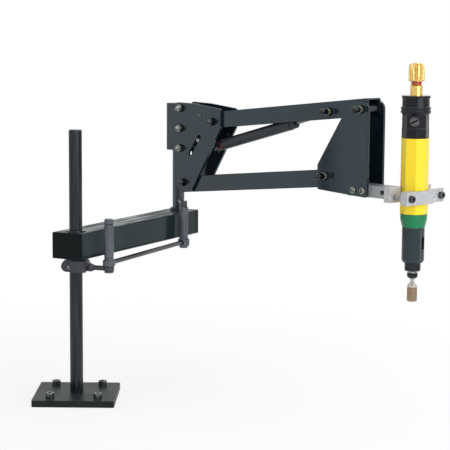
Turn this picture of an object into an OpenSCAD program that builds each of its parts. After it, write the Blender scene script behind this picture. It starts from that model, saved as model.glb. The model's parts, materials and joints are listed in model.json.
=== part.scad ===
/* [Base and post] */
// Side of the square base plate
plate_w = 124; // [100:1:160]
// Thickness of the base plate
plate_t = 10; // [8:0.5:16]
// Corner radius of the base plate
plate_r = 3; // [1:0.5:10]
// Post diameter
post_d = 20; // [16:0.5:24]
// Post length that stands above the plate
post_h = 402; // [380:1:600]
// Bench screw spacing across the plate
bolt_dx = 72; // [60:1:90]
// Bench screw spacing from front to back
bolt_dy = 84; // [60:1:96]
// Bench screw diameter
bench_screw_d = 8; // [6:1:10]
// Length of the bench screws below the plate
bench_grip = 20; // [12:1:40]

/* [Beam] */
// Heading of the beam from +X towards +Y
beam_heading = 62.4; // [60:0.1:66]
// Distance from the post to the elbow shaft
beam_reach = 311.5; // [290:0.5:340]
// Width of the box section
beam_w = 52; // [46:0.5:54]
// Height of the box section
beam_h = 40; // [34:0.5:44]
// Wall of the box section
beam_wall = 3; // [2:0.5:4]
// Outer corner radius of the box section
beam_r = 2; // [1:0.5:4]
// Height of the beam's underside above the bench
beam_z = 218; // [200:1:260]
// Beam length behind the post
beam_tail = 24.5; // [20:0.5:40]
// Beam length past the elbow shaft
beam_nose = 22; // [20:0.5:40]
// Outside diameter of the bearing tubes inside the beam
bearing_d = 32; // [29:0.5:36]

/* [Steering link] */
// Crank length from the post to the near barrel
near_crank = 54.5; // [52:0.5:60]
// Heading of the post crank
near_crank_heading = -18.7; // [-22:0.1:-15]
// Crank length from the elbow shaft to the far barrel
far_crank = 63; // [61:0.5:68]
// Heading of the elbow crank
far_crank_heading = -79.8; // [-84:0.1:-78]
// Barrel outside diameter
barrel_d = 14.5; // [12:0.5:15]
// Pin diameter inside the barrels
link_pin_d = 9; // [6:0.5:10]
// Tie rod diameter
tie_d = 7.4; // [6:0.2:8]
// Height of the tie rod's centre line
tie_z = 212.3; // [212:0.1:213]
// Height of the barrels' upper ends
barrel_top_z = 271; // [266:0.5:280]
// Diameter of the rod eyes at the barrels' feet
eye_d = 19; // [17:0.5:22]
// Length of tie rod past each eye
tie_over = 5; // [3:0.5:10]

/* [Arm] */
// Heading of the arm, from +X towards -Y
arm_heading = 46; // [40:0.5:50]
// Distance between an arm's two pins
arm_len = 322.7; // [300:0.5:360]
// Rise of the arms above level
arm_rise = 6.2; // [3:0.1:10]
// Height of the arm channels
arm_h = 26; // [22:0.5:28]
// Wall of the arm channels
arm_wall = 3; // [2:0.5:4]
// Gap between the side plates
plate_gap = 30; // [28:0.5:36]
// Thickness of the side plates
side_t = 4; // [3:0.5:6]
// Pivot pin diameter
pin_d = 8; // [6:0.5:10]
// Lower pin, ahead of the elbow shaft
low_pin_s = 33.5; // [32:0.5:40]
// Height of the lower elbow pin
low_pin_z = 309; // [304:0.5:312]
// Upper pin, ahead of the lower one
pin_step_s = 69.8; // [66:0.2:74]
// Upper pin, above the lower one
pin_step_z = 103.8; // [100:0.2:108]

/* [Gas spring] */
// Cylinder diameter
spring_d = 18; // [15:0.5:20]
// Piston rod diameter
spring_rod_d = 6; // [5:0.5:8]
// Length of the cylinder
spring_len = 167.5; // [150:0.5:180]
// Lower spring pin, ahead of the elbow shaft
spring_pin_s = 96.8; // [94:0.2:99]
// Height of the lower spring pin
spring_pin_z = 372; // [371:0.2:374]
// Upper spring pin, back from the head's upper pin along the upper arm
spring_top_back = 68.4; // [62:0.2:73]

/* [Tool holder] */
// Length of the holder bar past the head plates
bar_out = 51.8; // [48:0.2:64]
// Height of the jaws' middle
jaw_z = 328; // [326:0.5:332]
// Height of the jaws
jaw_h = 21; // [18:0.5:24]
// Depth of the closed clamp, front to back
clamp_deep = 44.4; // [43:0.1:52]
// Gap between the jaws
jaw_gap = 19; // [12:0.5:20]
// Near clamp screw from the tool's axis
clamp_near = 33; // [27:0.5:34]
// Far clamp screw from the tool's axis
clamp_far = 42; // [30:0.5:44]
// Clamp screw diameter
clamp_screw_d = 6; // [5:1:8]
// Height of the holder bar
bar_h = 18; // [16:0.5:20]

/* [Driver] */
// Diameter of the yellow body at the clamp
body_d = 40.4; // [38:0.2:41]
// Diameter of the nose housing
nose_d = 33; // [30:0.5:34]
// Bit socket diameter
socket_d = 15; // [13:0.5:16]
// Turn of the selector knob about the driver's axis
knob_heading = -101; // [-120:1:-80]

/* [Hidden] */

$fn = 64;
hull_fn = 32;
// Fits: running gap on a radius, seat gap of fixed pieces, side play of moving pieces
run_gap = 0.05;
seat_gap = 0.02;
side_play = 0.3;
// Overrun of every cut past its face
over = 1;

paint = [0.27, 0.3, 0.33];
paint_dark = [0.2, 0.22, 0.23];
steel_dark = [0.2, 0.21, 0.22];
barrel_grey = [0.37, 0.38, 0.4];
zinc = [0.72, 0.72, 0.66];
black = [0.08, 0.08, 0.09];
bronze = [0.62, 0.5, 0.3];
bare_alu = [0.8, 0.81, 0.82];
yellow = [0.98, 0.84, 0.16];
brass = [0.85, 0.68, 0.3];

// Base
plate_top = plate_t;
post_top = plate_top + post_h;
base_floor = 2;
bench_neck_relief = 0.3;
bench_head_d = 13;
bench_head_h = 8;
bench_key_d = 6;
bench_key_depth = 4;
bench_neck_d = bench_screw_d - bench_neck_relief * 2;
post_chamfer = 1.5;

// Beam
beam_mid_z = beam_z + beam_h / 2;
beam_top = beam_z + beam_h;
beam_in_r = 1;
cap_t = 2;
cap_plug = 8;
cap_relief = 4;
cap_screw_d = 4.5;
cap_screw_h = 1;
bush_wall = 3;
bush_len = 14;
flange_d = 30;
flange_t = 1.5;
low_flange_t = 3;
bush_d = post_d + bush_wall * 2;
shaft_d = post_d;
elbow_x = beam_reach * cos(beam_heading);
elbow_y = beam_reach * sin(beam_heading);
ring_d = 28;
ring_t = 3;
ring_gap = 0.2;

// Collar
collar_h = 17.5;
collar_gap = 0.2;
collar_top = beam_z - low_flange_t - collar_gap;
collar_z = collar_top - collar_h / 2;
collar_d = 30;
ear_w = 43;
ear_deep = 12;
split = 1.2;
crank_seat = post_d / 2 + split;
boss_d = 12.5;
boss_len = 6;
boss_r = 25.4;
collar_screw_d = 5;
collar_screw_head_d = 8.5;
collar_screw_head_h = 4;
ear_mid = ear_w / 2 - collar_h / 2;
front_left = 6;
front_right = 16;
front_deep = 19.5;
collar_screw_x = 14.6;
collar_screw_drop = 4.2;
collar_screw_z = collar_top - collar_screw_drop;
collar_hole_d = collar_screw_d + seat_gap * 2;
collar_screw_in = 10.5;
collar_key_d = 4;
collar_key_depth = 2;

// Steering link
near_x = near_crank * cos(near_crank_heading);
near_y = near_crank * sin(near_crank_heading);
far_x = elbow_x + far_crank * cos(far_crank_heading);
far_y = elbow_y + far_crank * sin(far_crank_heading);
link_dx = far_x - near_x;
link_dy = far_y - near_y;
link_len = norm([link_dx, link_dy]);
link_heading = atan2(link_dy, link_dx);
crank_d = 7.4;
eye_wall = 0.4;
near_eye_h = tie_d + eye_wall * 2;
near_eye_low = tie_z - near_eye_h / 2;
foot_gap = 0.2;
foot_d = 15.5;
foot_over = 0.7;
foot_top = near_eye_low - foot_gap;
foot_h = crank_d + foot_over;
foot_low = foot_top - foot_h;
crank_z = foot_top - foot_h / 2;
pin_nut_h = 2.4;
pin_nut_d = 14;
pin_head_h = 8;
pin_head_d = 13.6;
pin_chamfer = 1.2;
rod_seat = 2.6;
eye_slack = 0.55;
far_eye_floor = 1.8;
far_eye_roof = 1;
tie_wall = 1.2;
far_eye_low = tie_z - tie_d / 2 - eye_slack - far_eye_floor;
far_eye_top = tie_z + tie_d / 2 + eye_slack + far_eye_roof;
hanger_d = 11.5;
hanger_h = 9.6;
hanger_gap = 0.2;
hanger_z = barrel_top_z + hanger_gap;
elbow_crank_z = hanger_z + hanger_h / 2;
elbow_crank_d = 8;
far_foot_h = 3.5;
retainer_d = 11.4;
retainer_h = 3;
retainer_gap = 0.15;
barrel_groove = 0.8;
barrel_groove_d = 1.6;

// Arm frame
arm_w = plate_gap - side_play * 2;
half_gap = plate_gap / 2;
outer = half_gap + side_t;
up_pin_s = low_pin_s + pin_step_s;
up_pin_z = low_pin_z + pin_step_z;
arm_ds = arm_len * cos(arm_rise);
arm_dz = arm_len * sin(arm_rise);
head_up_s = up_pin_s + arm_ds;
head_up_z = up_pin_z + arm_dz;
head_low_s = low_pin_s + arm_ds;
head_low_z = low_pin_z + arm_dz;
up_over = 15.6;
low_over = 9.2;
end_back = 13;
end_front = 9.5;
arm_corner = 3;
arm_bush_d = 14;

// Elbow bracket
block_back = 13;
block_front = 38;
block_low_z = 360;
block_top_z = 438;
block_bolt_s = 26.5;
block_bolt_low_z = 365.2;
block_bolt_pitch = 33;
block_bolt_d = 6;
block_bolt_grip = 12;
hex_w = 10;
hex_h = 4.8;
washer_d = 13.5;
washer_t = 1.2;
tip_d = 6;
tip_out = 5.5;
plate_back_s = 16.2;
plate_front_s = 122;
plate_top_back_z = 440.5;
plate_top_front_z = 433.8;
plate_top_mid_s = 62;
plate_top_mid_z = 439.3;
plate_low_z = 294.6;
plate_toe_s = 52.3;
plate_knee_z = 402.8;
plate_heel_s = 26;
plate_heel_z = 301.5;
plate_corner = 3;
slot_w = 7;
slot_round_share = 0.46;
slot_low_s = 49.8;
slot_low_z = 357.6;
slot_high_s = 71.6;
slot_high_z = 386.1;
slot_at_share = 0.8;
anchor_s = slot_low_s + (slot_high_s - slot_low_s) * slot_at_share;
anchor_z = slot_low_z + (slot_high_z - slot_low_z) * slot_at_share;
spacer_s = 73.9;
spacer_z = 422.1;
spacer_d = 9;
spacer_screw_d = 4;
spacer_head_d = 7;
spacer_head_h = 2.5;

// Gas spring
top_pin_lift = 0.15;
spring_top_s = arm_len - spring_top_back;
spring_top_ds = spring_top_s * cos(arm_rise + top_pin_lift);
spring_up_s = up_pin_s + spring_top_ds;
spring_up_z = up_pin_z + spring_top_s * sin(arm_rise + top_pin_lift);
spring_dx = spring_up_s - spring_pin_s;
spring_dz = spring_up_z - spring_pin_z;
spring_span = norm([spring_dx, spring_dz]);
spring_tilt = atan2(spring_dz, spring_dx);
spring_eye_w = 12;
spring_eye_d = 15;
spring_neck = 15.5;
spring_bore = spring_rod_d + run_gap * 2;
bore_share = 0.82;
spring_bore_len = spring_len * bore_share;
spring_cap_len = 9;
spring_cap_d = 16.4;
top_eye_d = 17.5;
top_eye_w = 10;
top_slack = 2.1;
top_shift_z = -1.5;
top_shift_x = -0.65;
rod_end_in = 34;
cheek_t = 4.5;
cheek_gap = 16;
anchor_pin_d = 7;
anchor_pin_end = 13.6;
anchor_block_h = 15;
anchor_screw_d = 6;
anchor_screw_grip = 9;
anchor_tip_d = slot_w - run_gap * 2;
anchor_tip_sunk = 0.5;

// Head bracket
head_rim_back = 17;
head_rim_front = 13.9;
head_rim_low_back = 21.3;
head_rim_low_front = 26.35;
head_rim_knee = 16.15;
head_rim_top = 11.55;
head_rim_top_back = 21.8;
head_back_s = head_low_s - head_rim_back;
head_front_s = head_up_s + head_rim_front;
head_low_back_z = head_low_z - head_rim_low_back;
head_low_front_z = head_low_z - head_rim_low_front;
head_knee_z = head_low_z + head_rim_knee;
head_top_z = head_up_z + head_rim_top;
head_top_back_s = head_up_s - head_rim_top_back;
head_corner = 12;
head_small_corner = 4;
bar_in = 42;
bar_back_s = head_front_s - bar_in;
bar_w = 24;
bar_shoulder = 1.5;
bar_drop = 1;
bar_z = jaw_z - bar_drop;
holder_screw_rim = 9;
holder_screw_pitch = 19;
holder_screw_front_s = head_front_s - holder_screw_rim;
holder_screw_back_s = holder_screw_front_s - holder_screw_pitch;
holder_screw_d = 6;
holder_screw_grip = 10;
holder_head_d = 11;
holder_head_h = 3.3;
cap_d = 9.4;
cap_len = 13;
cap_deep = 6;
dome_rise_share = 0.6;

// Clamp
bar_end_s = head_front_s + bar_out;
tool_reach = bar_end_s + clamp_deep / 2;
jaw_end = 8.5;
jaw_near = clamp_near + jaw_end;
jaw_far = clamp_far + jaw_end;
clamp_places = [-clamp_near, clamp_far];
clamp_drop = 2.7;
clamp_z = jaw_z - clamp_drop;
front_jaw_h = 19.5;
jaw_step_s = 8;
jaw_step_m = 22;
jaw_step_r = 3.8;
clamp_head_d = 10.4;
clamp_head_h = 6;
clamp_key_d = 5;
clamp_key_depth = 3;
clamp_sink = 1;
jaw_back = clamp_deep / 2;
jaw_inner = jaw_gap / 2;
tool_seat_gap = 0.03;
jaw_chamfer = 1;
pocket_w = 10;
pocket_h = 6;
pocket_back = 27.5;
pocket_in = 5;

// Driver
body_low_z = 300.2;
body_top_z = 409.7;
body_wall = 3;
body_sides = 8;
body_end_share = 0.955;
body_end_h = 1.6;
ring_low_z = 280.7;
nose_low_z = 229;
nose_collar_d = 23.6;
nose_collar_low_z = 216.2;
chuck_d = 15.8;
chuck_low_z = 205.5;
chuck_top_z = 215.6;
shank_d = 6;
socket_low_z = 171.5;
socket_top_z = 196;
socket_ring = 4;
flare_h = 3;
hex_recess_w = 9;
hex_recess = 12;
head_top_dz = 61.2;
head_band_h = 14.4;
head_flats_h = 33.7;
head_band_share = 0.98;
head_flats_share = 0.965;
head_z = [head_flats_h, 36.7, 39.4, 40.2, 41, 41.8, 44.6, 44.6, 57.6, 57.6, head_top_dz, head_top_dz];
head_r_shares = [0.95, 1.08, 1.08, 1.03, 1.03, 1.08, 1.08, 0.985, 0.975, 1.03, 1.03, 1];
stem_d = 18.4;
stem_h = 15;
seal_d = 14;
seal_h = 5.1;
sleeve_relief = 3.6;
coupler_d = 23.2;
coupler_low_dz = 81.5;
coupler_h = 26;
coupler_travel = 3;
coupler_bore = 12;
sleeve_drop = 1;
knurl_count = 24;
knob_d = 14;
knob_h = 5;
knob_slot_w = 1.6;
knob_slot_h = 2.4;
knob_dz = 24.6;
knob_seat = 17;
knob_stem_d = 6;
spindle_d = 10;

motor_low_z = 345;
motor_top_z = 404;
gear_d = 30;
gear_low_z = 284;
rotor_d = 8;

// Arm-frame point as a place on the table
module at_elbow() translate([elbow_x, elbow_y, 0]) rotate(-arm_heading) children();
module at_beam() rotate(beam_heading) children();
module at_near() translate([near_x, near_y, 0]) children();
module at_far() translate([far_x, far_y, 0]) children();
module at_link() at_near() rotate(link_heading) children();
module at_tool() at_elbow() translate([tool_reach, 0, 0]) rotate(arm_heading) children();

// Cylinder along local Y, from y0 to y1, at arm-frame place s, z
module across(s, z, d, y0, y1) translate([s, y1, z]) rotate([90, 0, 0]) cylinder(d = d, h = y1 - y0);

// Cylinder between two heights
module upright(d, z0, z1) translate([0, 0, z0]) cylinder(d = d, h = z1 - z0);

// Chamfered round bar between two heights
module round_bar(d, z0, z1, c) rotate_extrude()
    polygon([[0, z0], [d / 2 - c, z0], [d / 2, z0 + c], [d / 2, z1 - c], [d / 2 - c, z1], [0, z1]]);

// Hexagon across flats w
module hexagon(w) circle(d = w / cos(30), $fn = 6);

module rounded_rect(w, d, r) {
    square([w - r * 2, d], center = true);
    square([w, d - r * 2], center = true);
    for (x = [-1, 1], y = [-1, 1]) translate([x * (w / 2 - r), y * (d / 2 - r)]) circle(r = r);
}

// Points of a closed outline whose corners are rounded, each point is [x, y, radius]
corner_steps = 6;
function unit(v) = v / norm(v);
function corner(a, b, c, r) = let(
    p = [b[0], b[1]], u = unit([a[0], a[1]] - p), v = unit([c[0], c[1]] - p),
    half = acos(u * v) / 2, reach = r / tan(half), mid = p + unit(u + v) * r / sin(half),
    a0 = atan2((p + u * reach - mid)[1], (p + u * reach - mid)[0]),
    a1 = atan2((p + v * reach - mid)[1], (p + v * reach - mid)[0]),
    turn = a1 - a0 > 180 ? a1 - a0 - 360 : a1 - a0 < -180 ? a1 - a0 + 360 : a1 - a0)
    [for (i = [0:corner_steps]) mid + r * [cos(a0 + turn * i / corner_steps),
        sin(a0 + turn * i / corner_steps)]];
function outline(p) = let(n = len(p))
    [for (i = [0:n - 1]) each corner(p[(i + n - 1) % n], p[i], p[(i + 1) % n], p[i][2])];

// Flat plate in the arm frame, from y0 to y1, outline in s and z
module upright_plate(points, y0, y1)
    translate([0, y1, 0]) rotate([90, 0, 0]) linear_extrude(y1 - y0) polygon(outline(points));

module cap_screw(d, grip, head_d, head_h, key_d, key_depth) difference() {
    union() {
        translate([0, 0, -grip]) cylinder(d = d, h = grip);
        cylinder(d = head_d, h = head_h);
    }
    translate([0, 0, head_h - key_depth]) linear_extrude(key_depth + over) hexagon(key_d);
}

module button_screw(d, grip, head_d, head_h) {
    translate([0, 0, -grip]) cylinder(d = d, h = grip);
    dome(head_d, head_h);
}

// Low dome standing on z = 0
module dome(d, h) rotate_extrude() {
    r = d / 2;
    rise = h * dome_rise_share;
    polygon(concat([[0, 0], [r, 0], [r, h - rise]],
        [for (a = [15:15:90]) [r * cos(a), h - rise + rise * sin(a)]]));
}

// Base plate, post and bench screws

module each_bench_screw() for (x = [-1, 1], y = [-1, 1]) translate([x * bolt_dx / 2, y * bolt_dy / 2, 0])
    children();

module base_plate() color(paint_dark) difference() {
    linear_extrude(plate_t) rounded_rect(plate_w, plate_w, plate_r);
    upright(post_d + seat_gap * 2, base_floor, plate_t + over);
    each_bench_screw() upright(bench_screw_d + seat_gap * 2, -over, plate_t + over);
}

module post() color(steel_dark) round_bar(post_d, base_floor, post_top, post_chamfer);

// Cap screws with a reduced neck in the plate and a full thread below it
module base_screws() color(black) each_bench_screw() union() {
    upright(bench_screw_d, -bench_grip, 0);
    translate([0, 0, plate_top])
        cap_screw(bench_neck_d, plate_t + over, bench_head_d, bench_head_h, bench_key_d, bench_key_depth);
}

// Split collar on the post, with the fixed crank

module collar_half(side) difference() {
    union() {
        upright(collar_d, collar_z - collar_h / 2, collar_top);
        translate([-ear_mid, -ear_deep, collar_z - collar_h / 2])
            cube([ear_mid * 2, ear_deep * 2, collar_h]);
        for (x = [-1, 1]) across(x * ear_mid, collar_z, collar_h, -ear_deep, ear_deep);
        if (side < 0) translate([-front_left, -front_deep, collar_z - collar_h / 2])
            cube([front_left + front_right, front_deep, collar_h]);
        if (side < 0) rotate(near_crank_heading) translate([0, 0, crank_z]) rotate([0, 90, 0])
            cylinder(d = boss_d, h = boss_r - seat_gap);
    }
    upright(post_d + run_gap * 2, collar_z - collar_h, collar_z + collar_h);
    translate([-ear_w, side > 0 ? -ear_w : -split / 2, collar_z - collar_h])
        cube([ear_w * 2, ear_w + split / 2, collar_h * 2]);
    for (x = [-1, 1]) across(x * collar_screw_x, collar_screw_z, collar_hole_d,
        -collar_screw_in - seat_gap, ear_w);
    if (side < 0) rotate(near_crank_heading) translate([0, 0, crank_z]) rotate([0, 90, 0])
        translate([0, 0, crank_seat]) cylinder(d = crank_d + seat_gap * 2, h = collar_d);
}

module collar_front() color(paint) collar_half(-1);
module collar_rear() color(paint) collar_half(1);

module collar_screws() color(zinc) for (x = [-1, 1])
    translate([x * collar_screw_x, ear_deep, collar_screw_z]) rotate([-90, 0, 0])
        cap_screw(collar_screw_d, ear_deep + collar_screw_in, collar_screw_head_d, collar_screw_head_h,
            collar_key_d, collar_key_depth);

module crank_rod() color(paint) rotate(near_crank_heading) translate([crank_seat, 0, crank_z])
    rotate([0, 90, 0]) {
    cylinder(d = crank_d, h = near_crank - crank_seat - foot_d / 2 + rod_seat);
    translate([0, 0, boss_r - crank_seat]) cylinder(d1 = boss_d, d2 = crank_d, h = boss_len);
}

module crank_foot() color(paint) difference() {
    at_near() round_bar(foot_d, foot_low, foot_top, pin_chamfer / 2);
    at_near() upright(link_pin_d + seat_gap * 2, foot_low - over, foot_top + over);
    rotate(near_crank_heading) translate([crank_seat, 0, crank_z]) rotate([0, 90, 0])
        cylinder(d = crank_d + seat_gap * 2,
            h = near_crank - crank_seat - foot_d / 2 + rod_seat + seat_gap);
}

module crank_pin() color(steel_dark) at_near() {
    upright(link_pin_d, foot_low - pin_nut_h, hanger_z + over);
    round_bar(pin_head_d, hanger_z, hanger_z + pin_head_h, pin_chamfer);
    difference() {
        round_bar(pin_nut_d, foot_low - pin_nut_h, foot_low, pin_chamfer / 2);
        upright(link_pin_d, foot_low - pin_nut_h - over, foot_low + over);
    }
}

// Turning barrels and the tie rod between their feet

module barrel(low, low_bore) rotate_extrude() {
    bore = link_pin_d / 2 + run_gap;
    r = barrel_d / 2;
    g0 = low + barrel_groove_d * 2;
    shoulder = low + retainer_h + retainer_gap * 2;
    polygon([[bore, shoulder], [low_bore, shoulder], [low_bore, low], [r, low], [r, g0],
        [r - barrel_groove, g0 + barrel_groove_d / 2], [r, g0 + barrel_groove_d],
        [r, barrel_top_z - pin_chamfer], [r - pin_chamfer, barrel_top_z], [bore, barrel_top_z]]);
}

module near_barrel() color(barrel_grey) at_near()
    barrel(tie_z + near_eye_h / 2, link_pin_d / 2 + run_gap * 2);
module far_barrel() color(barrel_grey) at_far() barrel(far_eye_top, retainer_d / 2 + retainer_gap);

module near_rod_eye() color(barrel_grey) difference() {
    at_near() round_bar(eye_d, near_eye_low, tie_z + near_eye_h / 2, barrel_groove / 2);
    at_near() upright(link_pin_d + run_gap * 2, near_eye_low - over, tie_z + near_eye_h);
    at_link() translate([link_pin_d / 2 + tie_wall, 0, tie_z]) rotate([0, 90, 0])
        cylinder(d = tie_d + seat_gap * 2, h = eye_d);
}

module far_rod_eye() color(barrel_grey) difference() {
    at_far() {
        round_bar(eye_d, far_eye_low, far_eye_top, barrel_groove);
        round_bar(pin_nut_d, far_eye_low - far_foot_h, far_eye_top, pin_chamfer);
    }
    at_link() translate([link_len - eye_d, 0, tie_z]) rotate([0, 90, 0])
        cylinder(d = tie_d + eye_slack * 2, h = eye_d * 2);
}

// Fixed in the near eye, slides through the far one
module tie_rod() color(steel_dark) at_link() translate([link_pin_d / 2 + tie_wall, 0, tie_z])
    rotate([0, 90, 0])
    cylinder(d = tie_d, h = link_len + eye_d / 2 + tie_over - link_pin_d / 2 - tie_wall);

// Beam with its bearings

module beam_tube() color(paint) at_beam() difference() {
    translate([-beam_tail + cap_t, 0, beam_mid_z]) rotate([90, 0, 90])
        linear_extrude(beam_tail + beam_reach + beam_nose - cap_t * 2)
        difference() {
            rounded_rect(beam_w, beam_h, beam_r);
            rounded_rect(beam_w - beam_wall * 2, beam_h - beam_wall * 2, beam_in_r);
        }
    for (x = [0, beam_reach]) translate([x, 0, 0])
        upright(bush_d + seat_gap * 2, beam_z - over, beam_top + over);
}

module beam_end_caps() color(black) at_beam() for (end = [0, 1])
    translate([end ? beam_reach + beam_nose : -beam_tail, 0, beam_mid_z]) rotate([0, end ? 180 : 0, 0])
        difference() {
        union() {
            rotate([90, 0, 90]) linear_extrude(cap_t) rounded_rect(beam_w, beam_h, beam_r);
            rotate([90, 0, 90]) translate([0, 0, cap_t]) linear_extrude(cap_plug)
                rounded_rect(beam_w - beam_wall * 2 - seat_gap * 4,
                    beam_h - beam_wall * 2 - seat_gap * 4, beam_in_r);
        }
        rotate([0, 90, 0]) translate([0, 0, -over]) cylinder(d = cap_screw_d, h = cap_screw_h + over);
        translate([bearing_relief, 0, 0]) cube([cap_plug * 2, bearing_d + over, beam_h], center = true);
    }
bearing_relief = cap_t + cap_plug + cap_relief;

module bearing_tubes() color(steel_dark) at_beam() for (x = [0, beam_reach]) translate([x, 0, 0])
    difference() {
    upright(bearing_d, beam_z + beam_wall, beam_top - beam_wall);
    upright(bush_d + seat_gap * 2, beam_z, beam_top);
}

module bush(flip, flange) rotate([flip ? 180 : 0, 0, 0]) rotate_extrude() {
    bore = post_d / 2 + run_gap;
    polygon([[bore, -bush_len], [bush_d / 2, -bush_len], [bush_d / 2, 0], [flange_d / 2, 0],
        [flange_d / 2, flange], [bore, flange]]);
}

module post_bushes() color(bronze) at_beam() {
    translate([0, 0, beam_top]) bush(false, flange_t);
    translate([0, 0, beam_z]) bush(true, low_flange_t);
}

module elbow_bushes() color(bronze) at_beam() translate([beam_reach, 0, 0]) {
    translate([0, 0, beam_top]) bush(false, flange_t);
    translate([0, 0, beam_z]) bush(true, flange_t);
}

// Elbow shaft, its rings and the crank that hangs the far barrel

shaft_low = beam_z + flange_t;
shaft_top = block_top_z - flange_t;
module elbow_shaft() color(steel_dark) difference() {
    at_elbow() round_bar(shaft_d, shaft_low, shaft_top, post_chamfer / 2);
    translate([elbow_x, elbow_y, elbow_crank_z]) rotate(far_crank_heading) rotate([0, 90, 0])
        cylinder(d = elbow_crank_d + seat_gap * 2, h = shaft_d);
}

module shaft_rings() color(zinc) at_elbow() {
    difference() {
        upright(ring_d, beam_top + flange_t + ring_gap, beam_top + flange_t + ring_gap + ring_t);
        upright(shaft_d + seat_gap * 2, beam_top, beam_top + ring_t * 3);
    }
    translate([0, 0, beam_z - flange_t - ring_gap - flange_t]) cylinder(d = bush_d, h = flange_t);
    upright(shaft_d - bush_wall * 2, beam_z - flange_t - ring_gap - over / 2, shaft_low - seat_gap);
}

module elbow_crank() color(paint) translate([elbow_x, elbow_y, elbow_crank_z]) rotate(far_crank_heading)
    rotate([0, 90, 0])
    translate([0, 0, seat_gap]) cylinder(d = elbow_crank_d,
        h = far_crank - hanger_d / 2 + rod_seat - seat_gap * 2);

module hanger_pin() color(steel_dark) difference() {
    at_far() {
        upright(link_pin_d, far_eye_top + retainer_gap, hanger_z + over);
        upright(retainer_d, far_eye_top + retainer_gap, far_eye_top + retainer_gap + retainer_h);
        round_bar(hanger_d, hanger_z, hanger_z + hanger_h, pin_chamfer / 2);
    }
    translate([elbow_x, elbow_y, elbow_crank_z]) rotate(far_crank_heading) rotate([0, 90, 0])
        cylinder(d = elbow_crank_d + seat_gap * 2, h = far_crank - hanger_d / 2 + rod_seat);
}

// Elbow bracket

bolt_heights = [for (i = [0:2]) block_bolt_low_z + block_bolt_pitch * i];
bracket_outline = [[plate_back_s, plate_heel_z, plate_corner], [plate_heel_s, plate_low_z, plate_corner],
    [plate_toe_s, plate_low_z, plate_corner], [plate_front_s, plate_knee_z, plate_corner * 2],
    [plate_front_s, plate_top_front_z, plate_corner], [plate_top_mid_s, plate_top_mid_z, plate_corner],
    [plate_back_s, plate_top_back_z, plate_corner]];

module shaft_block() color(paint) at_elbow() difference() {
    translate([-block_back, -half_gap + seat_gap, block_low_z])
        cube([block_back + block_front, plate_gap - seat_gap * 2, block_top_z - block_low_z]);
    upright(shaft_d + seat_gap * 2, block_low_z - over, shaft_top + seat_gap);
    for (z = bolt_heights, side = [-1, 1])
        across(block_bolt_s, z, block_bolt_d + seat_gap * 2,
            side > 0 ? half_gap - block_bolt_grip : -half_gap - over,
            side > 0 ? half_gap + over : -half_gap + block_bolt_grip);
}

module side_plate_holes() {
    for (z = bolt_heights) across(block_bolt_s, z, block_bolt_d + seat_gap * 2, -outer - over,
        outer + over);
    across(low_pin_s, low_pin_z, pin_d + seat_gap * 2, -outer - over, outer + over);
    across(up_pin_s, up_pin_z, pin_d + seat_gap * 2, -outer - over, outer + over);
    across(spacer_s, spacer_z, spacer_screw_d + seat_gap * 2, -outer - over, outer + over);
    slot();
}

module slot() {
    low = [slot_low_s, slot_low_z];
    high = [slot_high_s, slot_high_z];
    u = unit(high - low) * slot_w / 2;
    n = [-u[1], u[0]];
    r = slot_w * slot_round_share;
    upright_plate([for (q = [low - u - n, high + u - n, high + u + n, low - u + n]) [q[0], q[1], r]],
        -outer - over, outer + over);
}

module elbow_near_plate() color(paint) at_elbow() difference() {
    upright_plate(bracket_outline, -outer, -half_gap);
    side_plate_holes();
}

module elbow_far_plate() color(paint) at_elbow() difference() {
    upright_plate(bracket_outline, half_gap, outer);
    side_plate_holes();
}

// Stud that goes in from a face, with its washer and nut on the face
module stud_and_nut(d, grip) {
    translate([0, 0, -grip]) cylinder(d = d, h = grip + washer_t + hex_h + tip_out);
    cylinder(d = washer_d, h = washer_t);
    translate([0, 0, washer_t]) linear_extrude(hex_h) hexagon(hex_w);
}

module near_side(s, z) translate([s, -outer, z]) rotate([90, 0, 0]) children();
module far_side(s, z) translate([s, outer, z]) rotate([-90, 0, 0]) children();

module block_bolts() color(zinc) at_elbow() for (z = bolt_heights) {
    near_side(block_bolt_s, z) stud_and_nut(block_bolt_d, block_bolt_grip + side_t - seat_gap);
    far_side(block_bolt_s, z) stud_and_nut(block_bolt_d, block_bolt_grip + side_t - seat_gap);
}

module plate_spacer() color(zinc) at_elbow() {
    difference() {
        across(spacer_s, spacer_z, spacer_d, -half_gap, half_gap);
        across(spacer_s, spacer_z, spacer_screw_d + seat_gap * 2, -outer, outer);
    }
    near_side(spacer_s, spacer_z) button_screw(spacer_screw_d, side_t + block_bolt_grip, spacer_head_d,
        spacer_head_h);
    far_side(spacer_s, spacer_z) button_screw(spacer_screw_d, side_t + block_bolt_grip, spacer_head_d,
        spacer_head_h);
}

anchor_tilt = atan2(spring_pin_z - anchor_z, spring_pin_s - anchor_s);
anchor_reach = norm([spring_pin_s - anchor_s, spring_pin_z - anchor_z]);
module spring_anchor() color([0.42, 0.2, 0.17]) at_elbow() difference() {
    translate([anchor_s, 0, anchor_z]) rotate([0, -anchor_tilt, 0]) union() {
        translate([-anchor_block_h / 2, -half_gap + side_play, -anchor_block_h / 2])
            cube([anchor_block_h, plate_gap - side_play * 2, anchor_block_h]);
        for (side = [-1, 1]) translate([0, side * (cheek_gap + cheek_t) / 2, 0]) {
            translate([0, -cheek_t / 2, -anchor_block_h / 2]) cube([anchor_reach, cheek_t, anchor_block_h]);
            translate([anchor_reach, cheek_t / 2, 0]) rotate([90, 0, 0])
                cylinder(d = anchor_block_h, h = cheek_t);
        }
    }
    for (side = [-1, 1]) across(anchor_s, anchor_z, anchor_screw_d + seat_gap * 2,
        side > 0 ? half_gap - anchor_screw_grip : -outer, side > 0 ? outer : -half_gap + anchor_screw_grip);
    across(spring_pin_s, spring_pin_z, anchor_pin_d + seat_gap * 2, -outer, outer);
}

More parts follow.
